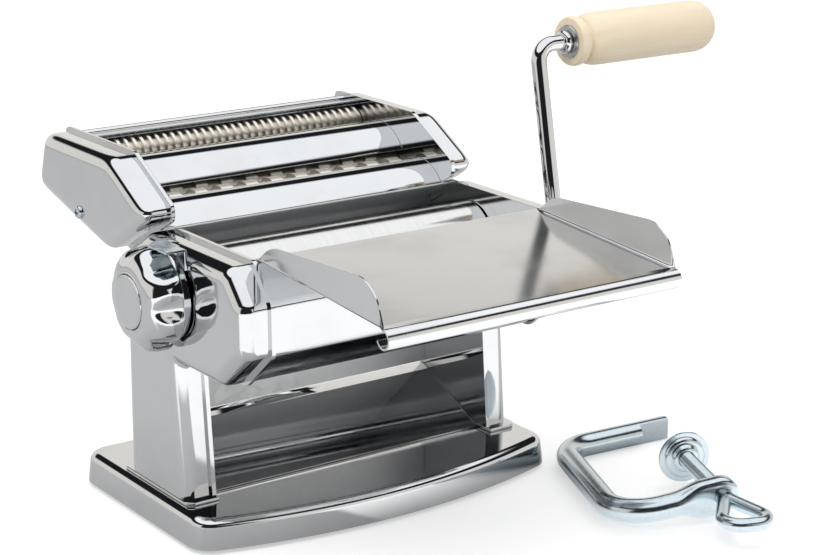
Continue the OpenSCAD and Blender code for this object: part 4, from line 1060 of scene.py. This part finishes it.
class PASTA_OT_clamp(PastaOperator, Operator):
    """Builds the loose table clamp: bent bar with its eye, threaded screw with a loop handle, and dished pad"""
    bl_idname = "pasta.clamp"
    bl_label = "Table clamp"

    # In the clamp's own axes: how it lies on the table, its bar, and the screw's axis in X and Z
    yaw, flare = math.radians(-22.2), math.radians(18)
    turn = Matrix.Translation((101, -46, 5)) @ Matrix.Rotation(yaw, 4, "Z")
    bar_r, raised, arm_l, back_l, neck_l = 5.5, 0.5, 60, 85, 25
    screw_x, screw_z, screw_r, pad_y = 46, 7.5, 4.0, -37.5

    def execute(self, context):
        s = context.scene.pasta_sizes
        self.bar()
        self.screw(s.thread / MM, s.thread_depth / MM)
        self.pad()
        return {"FINISHED"}

    def lay(self, points):
        """Points from the clamp's own axes to the table."""
        return [tuple(self.turn @ Vector(p)) for p in points]

    def lying(self, profile, y, way, sides):
        """Profile turned about the screw's axis, from y on one way along it."""
        verts, faces = lathe(profile, (0, 0), sides)
        return self.lay([(self.screw_x + v, y + way * d, self.screw_z + w) for d, v, w in verts]), faces

    def bar(self):
        """Bent bar with a flat on its free end, and the eye that grows out of its other end."""
        rise = math.atan2(self.screw_z, self.screw_x)
        run, climb, back = math.cos(rise), math.sin(rise), -self.back_l
        arm = (self.arm_l * math.cos(self.flare), self.arm_l * math.sin(self.flare), 0)
        line = [arm, (0, 0, 0), (0, back, 0), (self.neck_l * run, back, self.neck_l * climb)]
        rod = bent_rod("clamp_bar", self.lay([(x, y, z + self.raised) for x, y, z in line]), self.bar_r, 19.0, "zinc",
                       "clamp_frame", 36)
        angle = self.yaw + self.flare
        off = Vector((math.sin(angle), -math.cos(angle), 0)) * 5.0
        carve(rod, [block(tuple(self.turn @ Vector(arm) + off), (34, 5.2, 12), angle)])
        paint(rod, "zinc")
        smooth(rod.data, 35)
        eye_r, rings = 8.5, []
        for d in [self.neck_l + k for k in range(29)] + [53.6, 54.0, 54.3, 54.45]:
            f = min(1.0, max(0.0, (d - self.neck_l) / 14))
            f = f * f * (3 - 2 * f)
            tall, thick = self.bar_r + 3.0 * f, self.bar_r - 1.4 * f
            if d > self.screw_x:
                tall = math.sqrt(max(eye_r ** 2 - (d - self.screw_x) ** 2, 0.05))
                thick = min(thick, 1.6 + 2.5 * min(1.0, tall / 6))
            power, ring = 1.0 - 0.45 * f, []
            for a in full_turn(36):
                c, w = (math.copysign(abs(v) ** power, v) for v in (math.cos(a), math.sin(a)))
                ring.append((d * run - tall * w * climb, back + thick * c,
                             d * climb + tall * w * run + self.raised * (1 - f)))
            rings.append(self.lay(ring))
        bore = spawn("bore", mend(raw_mesh("bore", self.lying([(4.06, -15), (4.06, 15)], back, 1, 40))))
        piece("clamp_eye", rings_mesh(rings), "zinc", "clamp_frame", sharp=60, holes=[bore])

    def screw(self, pitch, depth):
        """Threaded rod from the pad to the eye and a triangular loop of wire."""
        x, z, first, last, sides = self.screw_x, self.screw_z, -39.5, -92.5, 28
        count = int((first - last) / pitch * 8)
        rings = []
        for i in range(count + 1):
            d = first + (last - first) * i / count
            fade = min(1.0, i / 8, (count - i) / 40)
            ring = []
            for k, a in enumerate(full_turn(sides)):
                r = self.screw_r - depth * fade * abs(2 * ((d / pitch + k / sides) % 1) - 1)
                ring.append((x + r * math.cos(a), d, z + r * math.sin(a)))
            rings.append(self.lay(ring))
        piece("clamp_thread", rings_mesh(rings), "zinc", "clamp_screw", sharp=75)
        near, far, neck, half = -92.0, -120.2, 1.2, 13
        loop = [(x + neck, near, z), (x + half, far, z), (x - half, far, z), (x - neck, near, z)]
        bent_rod("clamp_loop", self.lay(loop), 3.1, 7.0, "zinc", "clamp_screw", 28)

    def pad(self):
        """Dished pad: a flat rim, a step and a domed boss."""
        profile = [(0, 0), (9.6, 0), (10.6, 0.15), (11.6, 0.5), (12.0, 1.0), (11.8, 1.5), (11.0, 1.7), (10.0, 1.6),
                   (9.4, 1.8), (9.1, 2.4), (8.6, 2.9), (7.6, 3.0), (6.8, 3.1), (6.2, 3.6), (5.8, 4.4), (5.2, 4.9),
                   (4.06, 5.0), (4.06, 2.0), (0, 2.0)]
        piece("dished_pad", self.lying(profile, self.pad_y, -1, 72), "zinc", "clamp_pad", sharp=50)


class PASTA_OT_inner_works(PastaOperator, Operator):
    """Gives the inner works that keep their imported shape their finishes"""
    bl_idname = "pasta.inner_works"
    bl_label = "Inner works"

    def execute(self, context):
        kept = {"steel": ("drive_gear", "driven_gear", "gap_shaft", "shaft_washer", "index_pin", "knob_spring",
                          "fine_drive_gear", "fine_idle_gear", "wide_drive_gear", "wide_idle_gear"),
                "bronze": ("roller_bushes", "knob_bush", "cutter_bushes"),
                "chrome": ("index_plate", "front_scraper", "rear_scraper"),
                "zinc": ("left_bearing_block", "right_bearing_block", "clamp_socket", "base_screws")}
        for finish, nodes in kept.items():
            for node in nodes:
                paint(frame["nodes"][node], finish)
        return {"FINISHED"}


# Studio


def mirror_rays(tree, path):
    """Node that is 1 for rays that come from a mirror or through glass."""
    gloss = add(tree, "ShaderNodeMath", operation="MAXIMUM")
    wire(tree, (path, "Is Glossy Ray", gloss, 0), (path, "Is Transmission Ray", gloss, 1))
    return gloss


def studio_world():
    """White studio: plain for the camera and matt surfaces, with dark cards for reflections."""
    world = bpy.data.worlds.new("studio")
    world.use_nodes = True
    bpy.context.scene.world = world
    tree = world.node_tree
    tree.nodes.clear()
    coords, split = add(tree, "ShaderNodeTexCoord"), add(tree, "ShaderNodeSeparateXYZ")
    toward = add(tree, "ShaderNodeVectorMath", {1: (-0.62, -0.78, 0.0)}, operation="DOT_PRODUCT")
    wire(tree, (coords, "Generated", split, "Vector"), (coords, "Generated", toward, 0))

    def step(source, socket, low, high):
        node = smooth_step(tree, low, high)
        wire(tree, (source, socket, node, "Value"))
        return node

    def both(a, b):
        node = add(tree, "ShaderNodeMath", operation="MULTIPLY")
        wire(tree, (a, 0, node, 0), (b, 0, node, 1))
        return node

    def blend(mask, base, tint):
        node = add(tree, "ShaderNodeMix", {7: (*tint, 1)}, data_type="RGBA")
        wire(tree, (mask, 0, node, 0))
        if isinstance(base, tuple):
            node.inputs[6].default_value = (*base, 1)
        else:
            wire(tree, (base, 2, node, 6))
        return node

    wall = blend(step(split, "Z", 0.40, 0.46), (1.0, 0.97, 0.92), (0.015, 0.016, 0.018))
    overhead = blend(step(split, "Z", 0.66, 0.72), wall, (1.36, 1.37, 1.39))
    near = both(step(toward, "Value", 0.70, 0.80), step(split, "Z", -0.08, 0.0))
    cards = blend(both(near, step(split, "Z", 0.62, 0.56)), overhead, (0.02, 0.02, 0.022))
    studio = add(tree, "ShaderNodeBackground")
    plain = add(tree, "ShaderNodeBackground", Strength=0.82, Color=(1, 1, 1, 1))
    white = add(tree, "ShaderNodeBackground", Strength=1.0, Color=(1, 1, 1, 1))
    path, out = add(tree, "ShaderNodeLightPath"), add(tree, "ShaderNodeOutputWorld")
    mirror, seen = add(tree, "ShaderNodeMixShader"), add(tree, "ShaderNodeMixShader")
    wire(tree, (cards, 2, studio, "Color"), (mirror_rays(tree, path), 0, mirror, 0), (plain, 0, mirror, 1),
         (studio, 0, mirror, 2), (path, "Is Camera Ray", seen, 0), (mirror, 0, seen, 1), (white, 0, seen, 2),
         (seen, 0, out, "Surface"))


def paper_floor():
    """Pale sweep of paper that keeps a soft shadow. In mirrors it has a painted glow that is bright towards the
    front, apart from a painted dark sector towards the camera's side that ends at some distance."""
    mat = bpy.data.materials.new("white_paper")
    mat.use_nodes = True
    tree = mat.node_tree
    tree.nodes.clear()
    coords, split = add(tree, "ShaderNodeTexCoord"), add(tree, "ShaderNodeSeparateXYZ")
    # Painted glow seen only in mirrors: strong towards the front, with a painted dark sector towards the camera's
    # side
    front = smooth_step(tree, -0.055, -0.13, To_Min=0.06, To_Max=0.85)
    ray = add(tree, "ShaderNodeVectorMath", operation="NORMALIZE")
    toward = add(tree, "ShaderNodeVectorMath", {1: (-0.577, -0.816, 0.0)}, operation="DOT_PRODUCT")
    away = smooth_step(tree, 0.84, 0.88, To_Min=1.0, To_Max=0.03)
    reach = add(tree, "ShaderNodeVectorMath", operation="LENGTH")
    far = smooth_step(tree, 0.34, 0.40)
    lit = add(tree, "ShaderNodeMath", operation="MAXIMUM")
    mirror_glow_mask = add(tree, "ShaderNodeMath", operation="MULTIPLY")
    wire(tree, (coords, "Object", split, "Vector"), (split, "Y", front, "Value"), (coords, "Object", ray, 0),
         (ray, "Vector", toward, 0), (toward, "Value", away, "Value"), (coords, "Object", reach, 0),
         (reach, "Value", far, "Value"), (away, "Result", lit, 0), (far, "Result", lit, 1),
         (front, "Result", mirror_glow_mask, 0), (lit, "Value", mirror_glow_mask, 1))
    path, out = add(tree, "ShaderNodeLightPath"), add(tree, "ShaderNodeOutputMaterial")
    part = add(tree, "ShaderNodeMath", operation="MULTIPLY")
    total = add(tree, "ShaderNodeMath", {1: 0.5}, operation="MULTIPLY_ADD")
    matt = add(tree, "ShaderNodeBsdfDiffuse", Color=(0.62, 0.62, 0.62, 1))
    glow = add(tree, "ShaderNodeEmission", Color=(1, 1, 1, 1))
    both = add(tree, "ShaderNodeAddShader")
    wire(tree, (mirror_rays(tree, path), "Value", part, 0), (mirror_glow_mask, "Value", part, 1),
         (path, "Is Camera Ray", total, 0), (part, "Value", total, 2), (total, "Value", glow, "Strength"),
         (matt, 0, both, 0), (glow, 0, both, 1), (both, 0, out, "Surface"))
    return mat


class PASTA_OT_stage(PastaOperator, Operator):
    """Builds the studio: floor, camera at the photograph's angle, soft lamps and world"""
    bl_idname = "pasta.stage"
    bl_label = "Studio"

    def execute(self, context):
        scene = context.scene
        scene.view_settings.view_transform = "Standard"
        studio_world()
        mesh, wide = bpy.data.meshes.new("floor"), 3
        mesh.from_pydata([(-wide, -wide, 0), (wide, -wide, 0), (wide, wide, 0), (-wide, wide, 0)], [], [(0, 1, 2, 3)])
        floor = spawn("paper_floor", mesh)
        mesh.materials.append(paper_floor())
        cam = bpy.data.cameras.new("camera")
        cam.lens, cam.sensor_width = 92.86, 36.0
        view = spawn("camera", cam)
        az, el = math.radians(35.21), math.radians(16.08)
        look = Vector((math.sin(az) * math.cos(el), math.cos(az) * math.cos(el), -math.sin(el)))
        view.location = (-0.4953, -0.7739, 0.3595)
        self.aim(view, look)
        scene.camera = view
        for name, at, size, power in (("key_lamp", (-0.7, -0.5, 1.5), 0.9, 9.0),
                                      ("fill_lamp", (1.1, 0.4, 1.3), 1.0, 5.0)):
            lamp = bpy.data.lights.new(name, "AREA")
            lamp.size, lamp.energy = size, power
            obj = spawn(name, lamp)
            obj.location = at
            obj.visible_glossy = False
            self.aim(obj, -Vector(at))
        return {"FINISHED"}

    def aim(self, obj, look):
        """Turns a camera or lamp to look along a direction."""
        obj.rotation_euler = look.to_track_quat("-Z", "Y").to_euler()


STEPS = (PASTA_OT_finishes, PASTA_OT_sides, PASTA_OT_base, PASTA_OT_sheets, PASTA_OT_rollers, PASTA_OT_adjuster,
         PASTA_OT_crank, PASTA_OT_cutter, PASTA_OT_cutter_rollers, PASTA_OT_tray, PASTA_OT_clamp,
         PASTA_OT_inner_works, PASTA_OT_stage)


class PASTA_PT_panel(Panel):
    """Sidebar panel with the sizes, the finishes and the steps"""
    bl_idname = "PASTA_PT_panel"
    bl_label = "Pasta Machine"
    bl_space_type = "VIEW_3D"
    bl_region_type = "UI"
    bl_category = "Pasta Machine"

    def draw(self, context):
        for group_name in ("pasta_sizes", "pasta_finishes"):
            values = getattr(context.scene, group_name)
            box = self.layout.box()
            for key in values.__annotations__:
                box.prop(values, key)
        for step in STEPS:
            self.layout.operator(step.bl_idname)


CLASSES = (PastaSizes, PastaFinishes, *STEPS, PASTA_PT_panel)


def register():
    for cls in CLASSES:
        bpy.utils.register_class(cls)
    bpy.types.Scene.pasta_sizes = PointerProperty(type=PastaSizes)
    bpy.types.Scene.pasta_finishes = PointerProperty(type=PastaFinishes)


def unregister():
    del bpy.types.Scene.pasta_finishes
    del bpy.types.Scene.pasta_sizes
    for cls in reversed(CLASSES):
        bpy.utils.unregister_class(cls)


def main():
    register()
    for step in STEPS:
        area, name = step.bl_idname.split(".")
        if getattr(getattr(bpy.ops, area), name)() != {"FINISHED"}:
            raise RuntimeError(step.bl_label + " did not finish")


if __name__ == "__main__":
    main()
